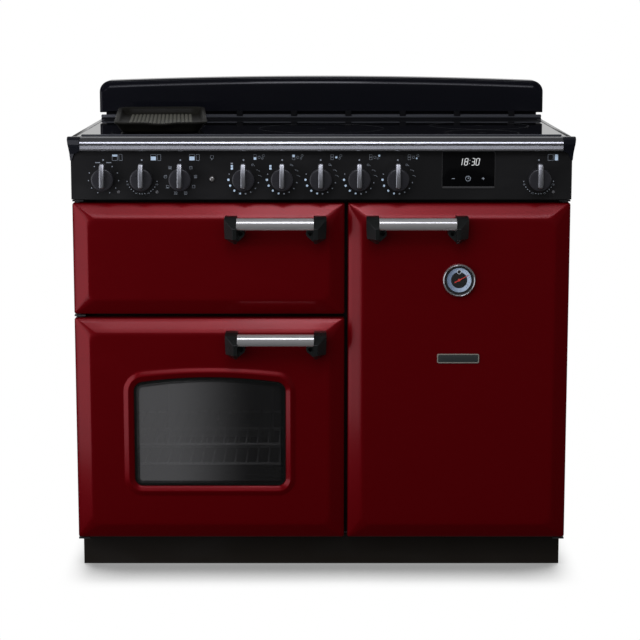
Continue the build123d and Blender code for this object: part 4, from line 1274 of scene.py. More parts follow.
def seven_strokes(text: str, height: float, lean: float) -> list[list[Flat]]:
    """Draw digits and a colon in plain strokes, about their common middle.

    Args:
        text: Digits, and a colon where there is one.
        height: Height of a digit.
        lean: How far they lean, as a share of their height.

    Returns:
        The outline of each stroke.
    """
    lit = {"0": "abcdef", "1": "bc", "2": "abged", "3": "abgcd", "4": "fgbc", "5": "afgcd", "6": "afgedc"}
    lit |= {"7": "abc", "8": "abcdefg", "9": "abcdfg"}
    half, line = height / 2, height * 0.09
    width = height * 0.40
    places = {"a": (0, 1), "g": (0, 0), "d": (0, -1)}
    places |= {"f": (-1, 0.5), "b": (1, 0.5), "e": (-1, -0.5), "c": (1, -0.5)}
    step = width + 2.5 * line
    advance = [step * 0.5 if mark == ":" else step for mark in text]
    start = -sum(advance) / 2
    strokes = []
    for mark, room in zip(text, advance):
        middle = start + room / 2 - (0.3 * width if mark == "1" else 0.0)
        start += room
        bars = []
        if mark == ":":
            bars = [(0.0, half * 0.45, line, line), (0.0, -half * 0.45, line, line)]
        for stroke in lit.get(mark, ""):
            across, up = places[stroke]
            flat = across == 0
            size = (width - line * 1.4, line) if flat else (line, half - line * 0.7)
            bars.append((across * width / 2, up * (half - line / 2), *size))
        for u, v, wide, tall in bars:
            corners = [(u + a * wide / 2, v + b * tall / 2) for a, b in SQUARE]
            strokes.append([(middle + a + b * lean, b) for a, b in corners])
    return strokes


@dataclass
class ControlPanel:
    """The display, the light button, the neon lamps and the print on the control panel."""

    clock: str = "18:30"
    clock_height: float = 14.5
    clock_lean: float = 0.16
    clock_place: Flat = (2.0, 16.2)
    corner: float = 4.0
    ink: float = 0.15
    sink: float = 0.2
    overlap: float = 0.02
    frame_sink: float = 0.6
    sign_drop: float = 17.0
    bulb_rise: float = 43.0
    neon_place: Flat = (29.6, -26.2)
    boost_squares: tuple[int, ...] = (3, 2, 0, 0, 0)

    def build(self, knobs: dict[str, Knob]) -> None:
        """Build everything on the panel but the knobs.

        Args:
            knobs: The knobs by name, whose marks are printed.
        """
        self.build_display()
        self.build_button()
        self.build_print(knobs)

    def build_display(self) -> None:
        """Build the display's window, its digits and its touch signs."""
        low, high = limits("timer_display")
        panel = limits("control_fascia")[0].y
        x, z = (low.x + high.x) / 2, (low.z + high.z) / 2
        width, height = high.x - low.x, high.z - low.z
        draft = Draft()
        rings = []
        for depth, inset in ((panel + 1.0, 0.0), (low.y + 1.0, 0.0), (low.y + 0.4, 0.3), (low.y, 1.2)):
            outline = rounded(width - 2 * inset, height - 2 * inset, self.corner - inset, side=4, corner=6)
            rings.append(facing(outline, x, depth, z))
        draft.skin(rings)
        draft.piece("clock_window", BODY, "display", DISPLAY_GLASS, ("timer_display",))
        front, back = low.y - self.ink, low.y + self.sink
        across, up = self.clock_place
        for stroke in seven_strokes(self.clock, self.clock_height, self.clock_lean):
            draft.prism(stroke, x + across, z + up, front, back)
        draft.piece("clock_digits", BODY, "display", CLOCK_DIGITS)
        frame_back = low.y + self.frame_sink
        outer = rounded(width, height, self.corner, side=4, corner=6)
        inner = rounded(width - 1.6, height - 1.6, 3.2, side=4, corner=6)
        draft.band(outer, inner, x, z, front, frame_back)
        lip = rounded(width - 3.0, 3.6, 1.6, side=4, corner=6)
        draft.prism(lip, x, low.z + 2.4, front - 0.8, frame_back)
        draft.piece("clock_frame", BODY, "display", DISPLAY_LIP)
        self.build_touch_signs(x, z - self.sign_drop, front, back)

    def build_touch_signs(self, x: float, z: float, front: float, back: float) -> None:
        """Build the minus, clock and plus signs under the digits.

        Args:
            x: The display's middle across.
            z: The signs' middle in height.
            front: Depth of the ink's front.
            back: Depth of the ink's back.
        """
        over = front - self.overlap
        bar, post = rounded(5.4, 1.1, 0.3, side=1, corner=2), rounded(1.1, 5.4, 0.3, side=1, corner=2)
        draft = Draft()
        draft.prism(bar, x - 30.0, z, front, back)
        draft.prism(bar, x + 29.0, z, front, back)
        draft.prism(post, x + 29.0, z, over, back)
        draft.band(circle(5.3, 32), circle(4.4, 32), x - 0.8, z, front, back)
        draft.prism(rounded(0.8, 3.4, 0.2, side=1, corner=2), x - 0.8, z + 1.5, front, back)
        draft.prism(rounded(2.8, 0.8, 0.2, side=1, corner=2), x + 0.4, z, over, back)
        draft.piece("clock_touch_signs", BODY, "display", TOUCH_PRINT)

    def build_button(self) -> None:
        """Build the light button with its domed cap."""
        low, high = limits("light_button")
        x, z = (low.x + high.x) / 2, (low.z + high.z) / 2
        size = (high.z - low.z) / 2
        profile = [(size, high.y), (size, low.y + 2.4), (size - 0.25, low.y + 1.4)]
        profile += [(size - 0.9, low.y + 0.6), (size - 2.0, low.y + 0.15), (size - 3.4, low.y)]
        draft = Draft()
        draft.lathe(profile, x, z, 40)
        node = "light_button"
        draft.piece("light_button_cap", node, "button_chrome", BUTTON_CHROME, (node,), crease=55.0)

    def build_print(self, knobs: dict[str, Knob]) -> None:
        """Print the marks of every knob, the lamp sign and the neon lamps.

        Args:
            knobs: The knobs by name.
        """
        ink = PanelPrint()
        signs = {
            "grill_knob": (MarkSet.GRILL, Oven.UPPER),
            "main_oven_temperature_knob": (MarkSet.HEAT, Oven.LOWER),
            "main_oven_function_knob": (MarkSet.FUNCTION, Oven.LOWER),
            "tall_oven_temperature_knob": (MarkSet.HEAT, Oven.RIGHT),
        }
        for name, (marks, oven) in signs.items():
            ink.round_marks(knobs[name], marks, 0)
            ink.oven_sign(knobs[name], oven)
        zone_knobs = [knob for name, knob in knobs.items() if name not in signs]
        for zone, knob in enumerate(zone_knobs):
            ink.round_marks(knob, MarkSet.ZONE, self.boost_squares[zone])
            ink.zone_sign(knob, zone)
        low, high = limits("light_button")
        ink.bulb_sign((low.x + high.x) / 2, (low.z + high.z) / 2 + self.bulb_rise)
        ink.build()
        draft = Draft()
        across, up = self.neon_place
        domed = [(3.2, 0.5), (3.2, -0.4), (2.6, -1.1), (1.4, -1.5)]
        for name, (marks, _) in signs.items():
            if marks is not MarkSet.FUNCTION:
                x, z = knobs[name].axis()
                draft.lathe([(size, ink.face + depth) for size, depth in domed], x + across, z + up, 24)
        draft.piece("neon_lamps", BODY, "display", NEON_LENS, crease=60.0)


@dataclass
class HobTrim:
    """What frames the hob: a rolled front bar, side strips, low rails, rear bands and end caps."""

    gap: float = 0.3
    seam: float = 0.2
    strip_edge: float = 1.2
    strip_foot: float = 2.0
    strip_lift: float = 0.2
    bar_foot: float = 0.5
    bar_steps: int = 3
    rail_y: float = 246.0
    rail_depth: float = 9.0
    rail_rise: float = 9.0
    seat_rise: float = 2.0
    band_drop: float = 0.1
    band_edge: float = 0.5
    lip_depth: float = 5.0
    lip_rise: float = 3.6
    cap_width: float = 26.0
    cap_drop: float = 47.0

    def bar_profile(self, front: float, low: float, high: float, back: float) -> list[Flat]:
        """Trace the rolled bar's section.

        Args:
            front: Depth of its nose.
            low: Its lowest height.
            high: Its highest height.
            back: Depth of its back.

        Returns:
            Depth and height of each point, from the top back round the nose.
        """
        # Each stretch: how far its face looks up, in degrees, and its length
        stretches = ((89.5, 0.5), (78.0, 9.8), (54.0, 10.6), (21.0, 4.1), (2.0, 0.7))
        stretches += ((-42.0, 4.9), (12.0, 0.6), (12.6, 8.8), (-30.0, 0.9))
        y, z = 0.0, 0.0
        path = [(y, z)]
        for angle, length in stretches:
            for _ in range(self.bar_steps):
                y -= length / self.bar_steps * math.sin(math.radians(angle))
                z -= length / self.bar_steps * math.cos(math.radians(angle))
                path.append((y, z))
        nose = min(y for y, _ in path)
        scale = (high - low) / -path[-1][1]
        points = [(front + y - nose, high + z * scale) for y, z in path]
        return [(back, high)] + points + [(back, low)]

    def build(self) -> None:
        """Build the bar, the strips, rails and bands round the glass, and the two end caps."""
        low, high = limits("hob_trim")
        glass_low, glass_high = limits("hob_glass")
        cap_high = limits("trim_end_caps")[1]
        end = cap_high.x - self.cap_width
        self.build_bar(self.bar_profile(low.y, low.z + self.bar_foot, high.z, glass_low.y - self.gap), end)
        inner, outer, foot = glass_high.x + self.gap, high.x, low.z + self.strip_foot
        rail_front, rail_back = self.rail_y - self.seam, self.rail_y + self.rail_depth
        draft = Draft()
        for first, last in ((-outer, -inner), (inner, outer)):
            draft.block((first, glass_low.y, foot), (last, rail_front, high.z), self.strip_edge)
        draft.piece("hob_edge_strips", BODY, "steel_trim", SIDE_STEEL, crease=50.0)
        seat_top, rail_top = high.z + self.seat_rise, high.z + self.rail_rise
        draft.block((-outer, self.rail_y, seat_top), (outer, rail_back, rail_top), self.strip_edge)
        lip_front, lip_back = glass_low.y - self.seam, glass_low.y + self.lip_depth
        draft.block((-end, lip_front, high.z), (end, lip_back, high.z + self.lip_rise), self.strip_edge)
        draft.piece("hob_rails", BODY, "steel_trim", RAIL_STEEL)
        for first, last in ((glass_high.y + self.gap, rail_front), (rail_back + self.seam, high.y)):
            draft.block((-inner, first, foot), (inner, last, high.z - self.band_drop), self.band_edge)
        draft.block((-outer, self.rail_y, foot), (outer, rail_back, seat_top), self.band_edge)
        draft.piece("hob_rear_bands", BODY, "black_enamel", DULL_BLACK, crease=50.0)
        for side in (-1.0, 1.0):
            self.cap(draft, side, cap_high, end)
        slot, node = "cap_black", "trim_end_caps"
        draft.piece("trim_end_cap_pair", BODY, slot, CAP_BLACK, (node,), crease=18.0, bevel=1.0)

    def build_bar(self, section: list[Flat], end: float) -> None:
        """Build the front bar, with a bright strip of painted highlight on its crown and a dark strip of
        painted reflection under that.

        Args:
            section: The bar's section.
            end: How far out the bar reaches to either side.
        """
        draft = Draft()
        draft.skin([[(x, y, z) for y, z in section] for x in (-end, end)])
        draft.piece("hob_front_bar", BODY, "steel_trim", STEEL_TRIM, ("hob_trim",), crease=50.0)
        # Each strip of painted light lies on one stretch of the section, which starts after its first point
        for name, finish, stretch in (("hob_bar_crown_painted_highlight", CROWN_PAINTED_HIGHLIGHT, 1), ("hob_bar_band_painted_dark_reflection", BAND_PAINTED_DARK_REFLECTION, 2)):
            first = 1 + stretch * self.bar_steps
            (rear_y, rear_z), (front_y, front_z) = section[first], section[first + self.bar_steps]
            lift = Vector((front_z - rear_z, rear_y - front_y)).normalized() * self.strip_lift
            strip = [(rear_y + lift.x, rear_z + lift.y), (front_y + lift.x, front_z + lift.y)]
            strip += [(front_y - lift.x, front_z - lift.y), (rear_y - lift.x, rear_z - lift.y)]
            draft.skin([[(x, y, z) for y, z in strip] for x in (-end, end)])
            draft.piece(name, BODY, "steel_trim", finish)

    def cap(self, draft: Draft, side: float, high: Vector, end: float) -> None:
        """Add one faceted end cap that narrows down beside the control panel.

        Args:
            draft: The mesh to add to.
            side: -1 for the left cap, 1 for the right.
            high: Highest corner of both caps.
            end: How far out the bar ends.
        """
        # Each level: how far below the top it is, its two edges, and how far out the front stands at both
        levels = (
            (0.0, 0.6, self.cap_width, 16.0, 12.0),
            (5.0, 0.3, 25.8, 26.0, 20.0),
            (14.0, 0.3, 24.6, 28.0, 21.0),
            (27.5, 0.3, 22.8, 22.0, 15.0),
            (34.0, 12.5, 22.2, 15.0, 12.0),
            (self.cap_drop, 17.5, 21.0, 13.0, 10.8),
        )
        back = high.y
        rings = []
        for drop, inner, outer, inner_out, outer_out in levels:
            z = high.z - drop
            first, last = side * (end + inner), side * (end + outer)
            front = [(first, back - inner_out, z), (last, back - outer_out, z)]
            rings.append([(first, back, z), *front, (last, back, z)])
        draft.skin(rings)


@dataclass
class HobTop:
    """The printed zone marks on the hob glass."""

    line: float = 1.0
    ink: float = 0.06
    cross: float = 16.0

    def build(self) -> None:
        """Print each zone's ring with its cross on the glass."""
        top = limits("hob_glass")[1].z
        # Each zone: its middle across and in depth, and its radius
        zones = (
            (-336.0, 22.0, 90.0),
            (-336.0, -158.0, 90.0),
            (0.0, -50.0, 130.0),
            (336.0, 30.0, 105.0),
            (325.0, -165.0, 75.0),
        )
        draft = Draft()
        for x, y, radius in zones:
            outer, inner = circle(radius, 96), circle(radius - self.line, 96)
            rings = [(outer, top), (outer, top + self.ink), (inner, top + self.ink), (inner, top)]
            draft.skin([lying(outline, x, y, z) for outline, z in rings], closed=True)
            for width, length in ((self.cross, self.line), (self.line, self.cross)):
                low = (x - width / 2, y - length / 2, top)
                draft.block(low, (x + width / 2, y + length / 2, top + self.ink))
        draft.piece("hob_zone_print", BODY, "hob_glass", ZONE_PRINT)


@dataclass
class Splashback:
    """The low pressed splashback: an open-backed shell with a rolled rim and a gently arched top."""

    corner: float = 24.0
    sheet: float = 2.0
    rise: float = 10.0
    foot: float = 38.0
    foot_inset: float = 3.0
    foot_corner: float = 1.5
    corner_taper: float = 14.0
    shoulder_ease: float = 10.0
    clip_pairs: int = 4
    clip_pitch: float = 122.0
    clip_width: float = 14.0
    clip_hook: float = 13.0
    clip_depth: float = 6.0
    clip_lift: float = 5.5
    clip_rise: float = 4.0
    clip_edge: float = 0.8
    block_inset: float = 14.0
    block_setback: float = 9.0
    block_rear: float = 4.0
    block_sink: float = 1.5
    block_rise: float = 2.5

    def build(self) -> None:
        """Build the shell, and the clips that hold it to the hob."""
        low, high = limits("splashback")
        bottom = low.z + self.foot
        height = high.z - self.rise - bottom
        width = high.x - low.x
        z = bottom + height / 2
        # Each ring: its inset, then its depth along the top and at the sides
        deep = high.y - low.y
        shell = [(self.sheet + 3.0, 7.5, 7.5), (self.sheet, 9.0, 9.0)]
        shell += [(self.sheet, deep, deep), (0.0, deep, deep)]
        rolled = [(0.0, 7.5, 7.5), (0.4, 5.6, 5.0), (1.4, 4.4, 2.6), (3.0, 4.0, 1.1)]
        rolled += [(5.7, 3.9, 0.1), (5.8, 3.9, 0.1), (5.9, 3.84, 0.1)]
        step = [(7.2, 3.0, 0.05), (8.4, 2.3, 0.05), (11.2, 1.25, 0.02)]
        step += [(13.4, 0.5, 0.0), (16.0, 0.1, 0.0), (22.0, 0.0, 0.0)]
        shoulder = high.z - self.rise - self.corner
        rings = []
        for inset, top_depth, side_depth in shell + rolled + step:
            top, foot = self.corner - min(inset, self.corner_taper), min(inset, self.foot_inset)
            wide, tall = width - 2 * inset, height - inset - foot
            outline = rounded(wide, tall, top, self.rise, 20, 9, self.foot_corner)
            ring = []
            for u, _, w in facing(outline, 0.0, low.y, z + (foot - inset) / 2):
                share = min(1.0, max(0.0, (w - shoulder) / self.shoulder_ease))
                ring.append((u, low.y + between(side_depth, top_depth, share), w))
            rings.append(ring)
        draft = Draft()
        draft.skin(rings)
        node, slot = "splashback", "black_enamel"
        draft.piece("splashback_shell", BODY, slot, SPLASH_ENAMEL, (node,), crease=50.0)
        self.build_clips(low, high, bottom)

    def build_clips(self, low: Vector, high: Vector, bottom: float) -> None:
        """Build the clips that hook over the hob's rear rail, and a dark filler block in the gap under the
        shell, painted shade for that gap.

        Args:
            low: The splashback's lowest corner.
            high: The splashback's highest corner.
            bottom: Height of the shell's lower edge.
        """
        hob = limits("hob_trim")[1].z
        half = self.clip_width / 2
        clip_front, clip_back = low.y - self.clip_hook, low.y + self.clip_depth
        draft = Draft()
        for count in range(-self.clip_pairs, self.clip_pairs):
            x = (count + 0.5) * self.clip_pitch
            clip_low = (x - half, clip_front, hob + self.clip_lift)
            draft.block(clip_low, (x + half, clip_back, bottom + self.clip_rise), self.clip_edge)
        # A dark filler block under the shell, standing in as painted shade for the gap there
        block_low = (low.x + self.block_inset, low.y + self.block_setback, hob - self.block_sink)
        block_high = (high.x - self.block_inset, high.y - self.block_rear, bottom + self.block_rise)
        draft.block(block_low, block_high, self.clip_edge)
        draft.piece("splashback_clips_and_shade_block", BODY, "black_enamel", DULL_BLACK, crease=40.0)


@dataclass
class Griddle:
    """The cast griddle: flared sides, a rolled rim with a pouring dip, and a ribbed floor."""

    width: float = 188.0
    length: float = 352.0
    turn: float = 4.4
    tilt: float = 5.0
    corner: float = 26.0
    rib_pitch: float = 8.2
    rib_half: float = 3.6
    rib_end_gap: float = 34.0
    rib_side_gap: float = 32.0
    dip: float = 2.2
    dip_width: float = 30.0
    dip_reach: float = 8.0
    dip_out: float = 2.5

    def place(self, points: list[Point]) -> list[Point]:
        """Turn points with the griddle about its middle."""
        low, high = limits("griddle")
        middle = Vector(((low.x + high.x) / 2, (low.y + high.y) / 2, low.z))
        spin = Matrix.Rotation(math.radians(self.turn), 3, "Z")
        return [middle + spin @ Vector(point) for point in points]

    def ring(self, inset: float, height: float, rim: float) -> list[Point]:
        """Place one ring of the wall, dipped at the middle of its front and rising to the back.

        Args:
            inset: How far inside the rim it lies.
            height: Its height above the foot.
            rim: How much of the dip and the rise it takes, from 0 to 1.

        Returns:
            The ring's points.
        """
        width, length, half = self.width - 2 * inset, self.length - 2 * inset, self.length / 2
        points = []
        for u, v in rounded(width, length, self.corner - inset / 2, side=16, corner=9):
            at_front = v < inset + self.dip_reach - half
            share = max(0.0, 1 - (u / self.dip_width) ** 2) if at_front else 0.0
            lift = self.tilt * v / half - self.dip * share
            points.append((u, v - self.dip_out * share * rim, height + lift * rim))
        return self.place(points)

    def build(self) -> None:
        """Build the cast pan, and the ribs on its floor."""
        tall = limits("griddle")[1].z - limits("griddle")[0].z
        outside = [(20.0, 0.0, 0.0), (17.0, 1.0, 0.0), (13.0, 6.5, 0.2)]
        outside += [(5.5, tall - 7.5, 0.8), (1.4, tall - 4.2, 1.0)]
        rim = [(0.0, tall - 2.2, 1.0), (0.3, tall - 0.6, 1.0), (1.6, tall, 1.0)]
        rim += [(6.5, tall - 0.1, 1.0), (8.2, tall - 0.8, 1.0)]
        inside = [(9.8, tall - 3.6, 0.8), (11.6, tall - 8.0, 0.4)]
        inside += [(14.0, tall - 10.4, 0.1), (18.0, tall - 11.0, 0.0)]
        draft = Draft()
        draft.skin([self.ring(*station) for station in outside + rim + inside])
        draft.piece("griddle_pan", "griddle", "cast_griddle", GRIDDLE_CAST, ("griddle",), crease=60.0)
        reach = self.length / 2 - self.rib_end_gap
        count = int((self.width - 2 * self.rib_side_gap) / self.rib_pitch)
        # Each level of a rib: half its width, and how far below the rim it is
        levels = ((self.rib_half, 11.2), (3.0, 10.2), (2.0, 9.5), (0.8, 9.2))
        for step in range(count + 1):
            x = (step - count / 2) * self.rib_pitch
            rings = []
            for half, drop in levels:
                outline = rounded(2 * half, 2 * reach - 2 * (self.rib_half - half), half, side=2, corner=4)
                rings.append(self.place(lying(outline, x, 0.0, tall - drop)))
            draft.skin(rings)
        draft.piece("griddle_ribs", "griddle", "cast_griddle", GRIDDLE_FLOOR, crease=60.0)


@dataclass
class Gauge:
    """The dial thermometer on the tall door, and the bare plate under it."""

    body: str = "tall_oven_door"
    slot: str = "gauge_chrome"
    plate_width: float = 84.0
    plate_height: float = 19.0
    plate_z: float = 447.0
    needle_length: float = 21.0
    needle_rest: float = 62.0
    dial_depth: float = 6.4
    tick: float = 0.7
    tick_reach: float = 22.8
    number_reach: float = 17.6
    number_height: float = 2.6
    mark_rise: float = 16.8
    mark_radius: float = 3.4
    mark_rim: float = 4.5

    def build(self) -> None:
        """Build the case, the dial, the lens, the needle and the plate."""
        low, high = limits("thermometer")
        x, z = (low.x + high.x) / 2, (low.z + high.z) / 2
        size = (high.z - low.z) / 2
        front, face = low.y, limits("grill_door_panel")[0].y
        case = [(size - 1.5, face), (size - 0.4, face - 1.0), (size, face - 4.0), (size - 0.3, front + 1.8)]
        case += [(size - 0.9, front + 0.6), (size - 2.0, front), (size - 3.0, front + 0.5)]
        case += [(size - 3.4, front + 1.8), (size - 3.5, front + 6.5)]
        draft = Draft()
        draft.lathe(case, x, z, 72)
        draft.piece("thermometer_case", self.body, self.slot, GAUGE_CHROME, ("thermometer",), crease=50.0)
        self.build_dial(x, z, front + self.dial_depth)
        lens = [(29.0, 1.9), (28.8, 1.5), (20.0, 1.0), (8.0, 0.6)]
        draft.lathe([(radius, front + depth) for radius, depth in lens], x, z, 64)
        draft.piece("thermometer_lens", self.body, self.slot, GAUGE_LENS, crease=60.0)
        self.build_needle(x, z)
        self.build_plate(x, face)

    def build_dial(self, x: float, z: float, floor: float) -> None:
        """Build the dial with its scale, its print and the round mark at its top.

        Args:
            x: The dial's middle across.
            z: The dial's middle in height.
            floor: Depth of the case's floor.
        """
        # Each disc: its name, outer and inner radius, how far it stands out and its finish
        discs = (
            ("thermometer_dial", 28.9, 0.4, 0.3, DIAL_BLACK),
            ("thermometer_scale", 24.2, 16.2, 0.6, DIAL_BLUE),
        )
        for name, outer, inner, stand, finish in discs:
            draft = Draft()
            draft.band(circle(outer, 72), circle(inner, 72), x, z, floor - stand, floor)
            draft.piece(name, self.body, self.slot, finish, crease=40.0)
        front, back = floor - 0.8, floor - 0.5
        for count in range(28):
            angle = math.radians(-135 + 10 * count)
            long = 3.4 if count % 3 == 0 else 1.8
            middle = self.tick_reach - long / 2
            turn = Matrix.Rotation(-angle, 2)
            corners = [(u * self.tick / 2, v * long / 2) for u, v in SQUARE]
            tick = [tuple(turn @ Vector((u, v + middle))) for u, v in corners]
            draft.prism(tick, x, z, front, back)
        for degrees, text in ((-120.0, "50"), (-60.0, "100"), (0.0, "150"), (60.0, "200"), (120.0, "250")):
            angle = math.radians(degrees)
            across, up = self.number_reach * math.sin(angle), self.number_reach * math.cos(angle)
            for stroke in seven_strokes(text, self.number_height, 0.0):
                draft.prism(stroke, x + across, z + up, front, back)
        draft.piece("thermometer_print", self.body, self.slot, DIAL_PRINT)
        mark, rim = circle(self.mark_radius, 24), circle(self.mark_rim, 24)
        front, back = floor - 0.9, floor - 0.4
        draft.prism(mark, x, z + self.mark_rise, front, back)
        draft.piece("thermometer_drop", self.body, self.slot, DIAL_BLACK)
        draft.band(rim, mark, x, z + self.mark_rise, front, back)
        draft.piece("thermometer_mark", self.body, self.slot, DIAL_MARK)

    def build_needle(self, x: float, z: float) -> None:
        """Build the needle with its hub.

        Args:
            x: The dial's middle across.
            z: The dial's middle in height.
        """
        low, high = limits("thermometer_needle")
        turn = Matrix.Rotation(math.radians(-self.needle_rest), 2)
        shape = [(-0.9, -10.0), (0.9, -10.0), (1.2, -7.6), (0.7, -5.6), (1.1, 0.0)]
        shape += [(0.3, self.needle_length)]
        shape += [(-u, v) for u, v in reversed(shape)][:-2]
        draft = Draft()
        draft.prism([tuple(turn @ Vector(point)) for point in shape], x, z, low.y + 0.2, low.y + 0.8)
        draft.lathe([(2.6, high.y), (2.6, low.y + 0.5), (2.2, low.y + 0.1), (1.0, low.y)], x, z, 24)
        node = "thermometer_needle"
        draft.piece("thermometer_pointer", node, "needle_red", NEEDLE_RED, (node,), crease=40.0)

    def build_plate(self, x: float, face: float) -> None:
        """Build the bare plate on the door.

        Args:
            x: Its middle across.
            face: Depth of the door's face.
        """
        draft = Draft()
        rings = []
        for inset, out in ((1.0, -0.2), (1.0, 1.5), (1.4, 1.7)):
            rings.append(self.plate_ring(x, face - out, inset, 2.6))
        draft.skin(rings)
        draft.piece("tall_door_bare_plate", self.body, self.slot, BARE_PLATE, crease=40.0)
        rings = []
        for inset, out in ((0.0, -0.2), (0.0, 1.8), (0.6, 2.4), (1.8, 2.4), (2.2, 1.8), (2.2, 0.5)):
            rings.append(self.plate_ring(x, face - out, inset, 3.4 - inset / 2))
        draft.skin(rings, closed=True)
        draft.piece("tall_door_plate_rim", self.body, self.slot, PLATE_RIM, crease=40.0)

    def plate_ring(self, x: float, y: float, inset: float, corner: float) -> list[Point]:
        """Place the plate's outline, drawn in by an inset, at a depth."""
        width, height = self.plate_width - 2 * inset, self.plate_height - 2 * inset
        return facing(rounded(width, height, corner, side=4, corner=6), x, y, self.plate_z)


@dataclass
class WireRacks:
    """Chromed oven racks at their levels: a frame of thick wire with thinner rods across it."""

    node: str
    levels: tuple[float, ...]
    rail: float = 3.0
    rod: float = 1.9
    spacing: float = 23.0
    overhang: float = 1.0
    rail_ease: float = 0.8
    rod_ease: float = 0.6

    def build(self) -> None:
        """Build every rack of one oven."""
        low, high = limits(self.node)
        draft = Draft()
        left, right = low.x + self.rail, high.x - self.rail
        front, back = low.y + self.rail, high.y - self.rail
        for level in self.levels:
            z = level + self.rail
            for y in (front, back):
                start, end = (left - self.rail, y, z), (right + self.rail, y, z)
                draft.rod(start, end, self.rail, 12, self.rail_ease)
            for x in (left, right):
                draft.rod((x, front, z), (x, back, z), self.rail, 12)
            middle = (front + back) / 2
            draft.rod((left, middle, z - self.rod), (right, middle, z - self.rod), self.rod, 10)
            over = z + self.rod
            count = int((right - left) / (2 * self.spacing))
            for step in range(count * 2 + 1):
                x = (left + right) / 2 + (step - count) * self.spacing
                if left < x < right:
                    start, end = (x, front - self.overhang, over), (x, back + self.overhang, over)
                    draft.rod(start, end, self.rod, 10, self.rod_ease)
        name = self.node + "_wires"
        draft.piece(name, BODY, "rack_chrome", RACK_CHROME, (self.node,), crease=60.0)


@dataclass
class BackScrews:
    """The pan-head screws round the rear panel."""

    head: float = 4.5
    inset: float = 12.0
    pitch: float = 150.0

    def build(self) -> None:
        """Build the screws along the panel's edges."""
        low, high = limits("rear_panel")
        face = high.y
        places = []
        across = int((high.x - low.x - 2 * self.inset) / self.pitch)
        for step in range(across + 1):
            x = between(low.x + self.inset, high.x - self.inset, step / across)
            places += [(x, low.z + self.inset), (x, high.z - self.inset)]
        up = int((high.z - low.z - 2 * self.inset) / self.pitch)
        for step in range(1, up):
            z = between(low.z + self.inset, high.z - self.inset, step / up)
            places += [(low.x + self.inset, z), (high.x - self.inset, z)]
        draft = Draft()
        size = self.head
        profile = [(size, 0.0), (size, 0.8), (size - 0.7, 1.8), (1.4, 2.3), (1.2, 1.4)]
        for x, z in places:
            draft.lathe([(radius, face + out) for radius, out in profile], x, z, 20)
        draft.piece("rear_panel_screws", BODY, "galvanised", SCREW_STEEL, crease=40.0)


@dataclass
class CarriedNodes:
    """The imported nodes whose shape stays, with their finishes and eased edges."""

    ease: float = 0.7
    crease: float = 30.0

    def build(self) -> None:
        """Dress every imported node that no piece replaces."""
        liners = [door + "_door_liner" for door in ("grill", "main", "tall")]
        groups = {
            PLINTH_ENAMEL: ("plinth",),
            BLACK_ENAMEL: ("control_fascia", "front_frame"),
            SIDE_ENAMEL: ("left_side_panel", "right_side_panel"),
            HOB_GLASS: ("hob_glass",),
            FOOT_PLASTIC: ("levelling_feet",),
            SEAL_RUBBER: ("oven_door_seals",),
            MINERAL_WOOL: ("oven_insulation",),
            ELEMENT_ROD: ("heating_elements",),
            COPPER_COIL: ("induction_coils",),
            CIRCUIT_BOARD: ("induction_boards",),
            MOTOR_CAST: ("fan_motors",),
            FAN_STEEL: ("fan_covers", "main_oven_fan", "tall_oven_fan"),
            RACK_CHROME: ("shelf_guides",),
            LAMP_GLASS: ("oven_lamps",),
            SWITCH_PLASTIC: ("control_switches", "terminal_box"),
            HINGE_STEEL: ("hinge_pins",),
            GALVANISED: ("base_tray", "rear_panel", "hob_tray"),
            OVEN_ENAMEL: ("main_oven_cavity", "tall_oven_cavity", "grill_chamber", "grill_pan", *liners),
        }
        eased = ("plinth", "left_side_panel", "right_side_panel")
        eased += ("hob_glass", "control_fascia", "terminal_box")
        for finish, names in groups.items():
            for name in names:
                node = frame["nodes"][name]
                node.data.materials.clear()
                node.data.materials.append(finish.build())
                if name in eased:
                    ease_edges(node, self.ease, 2, self.crease)
                LOG.info("%s keeps its shape in %s", name, finish.name)


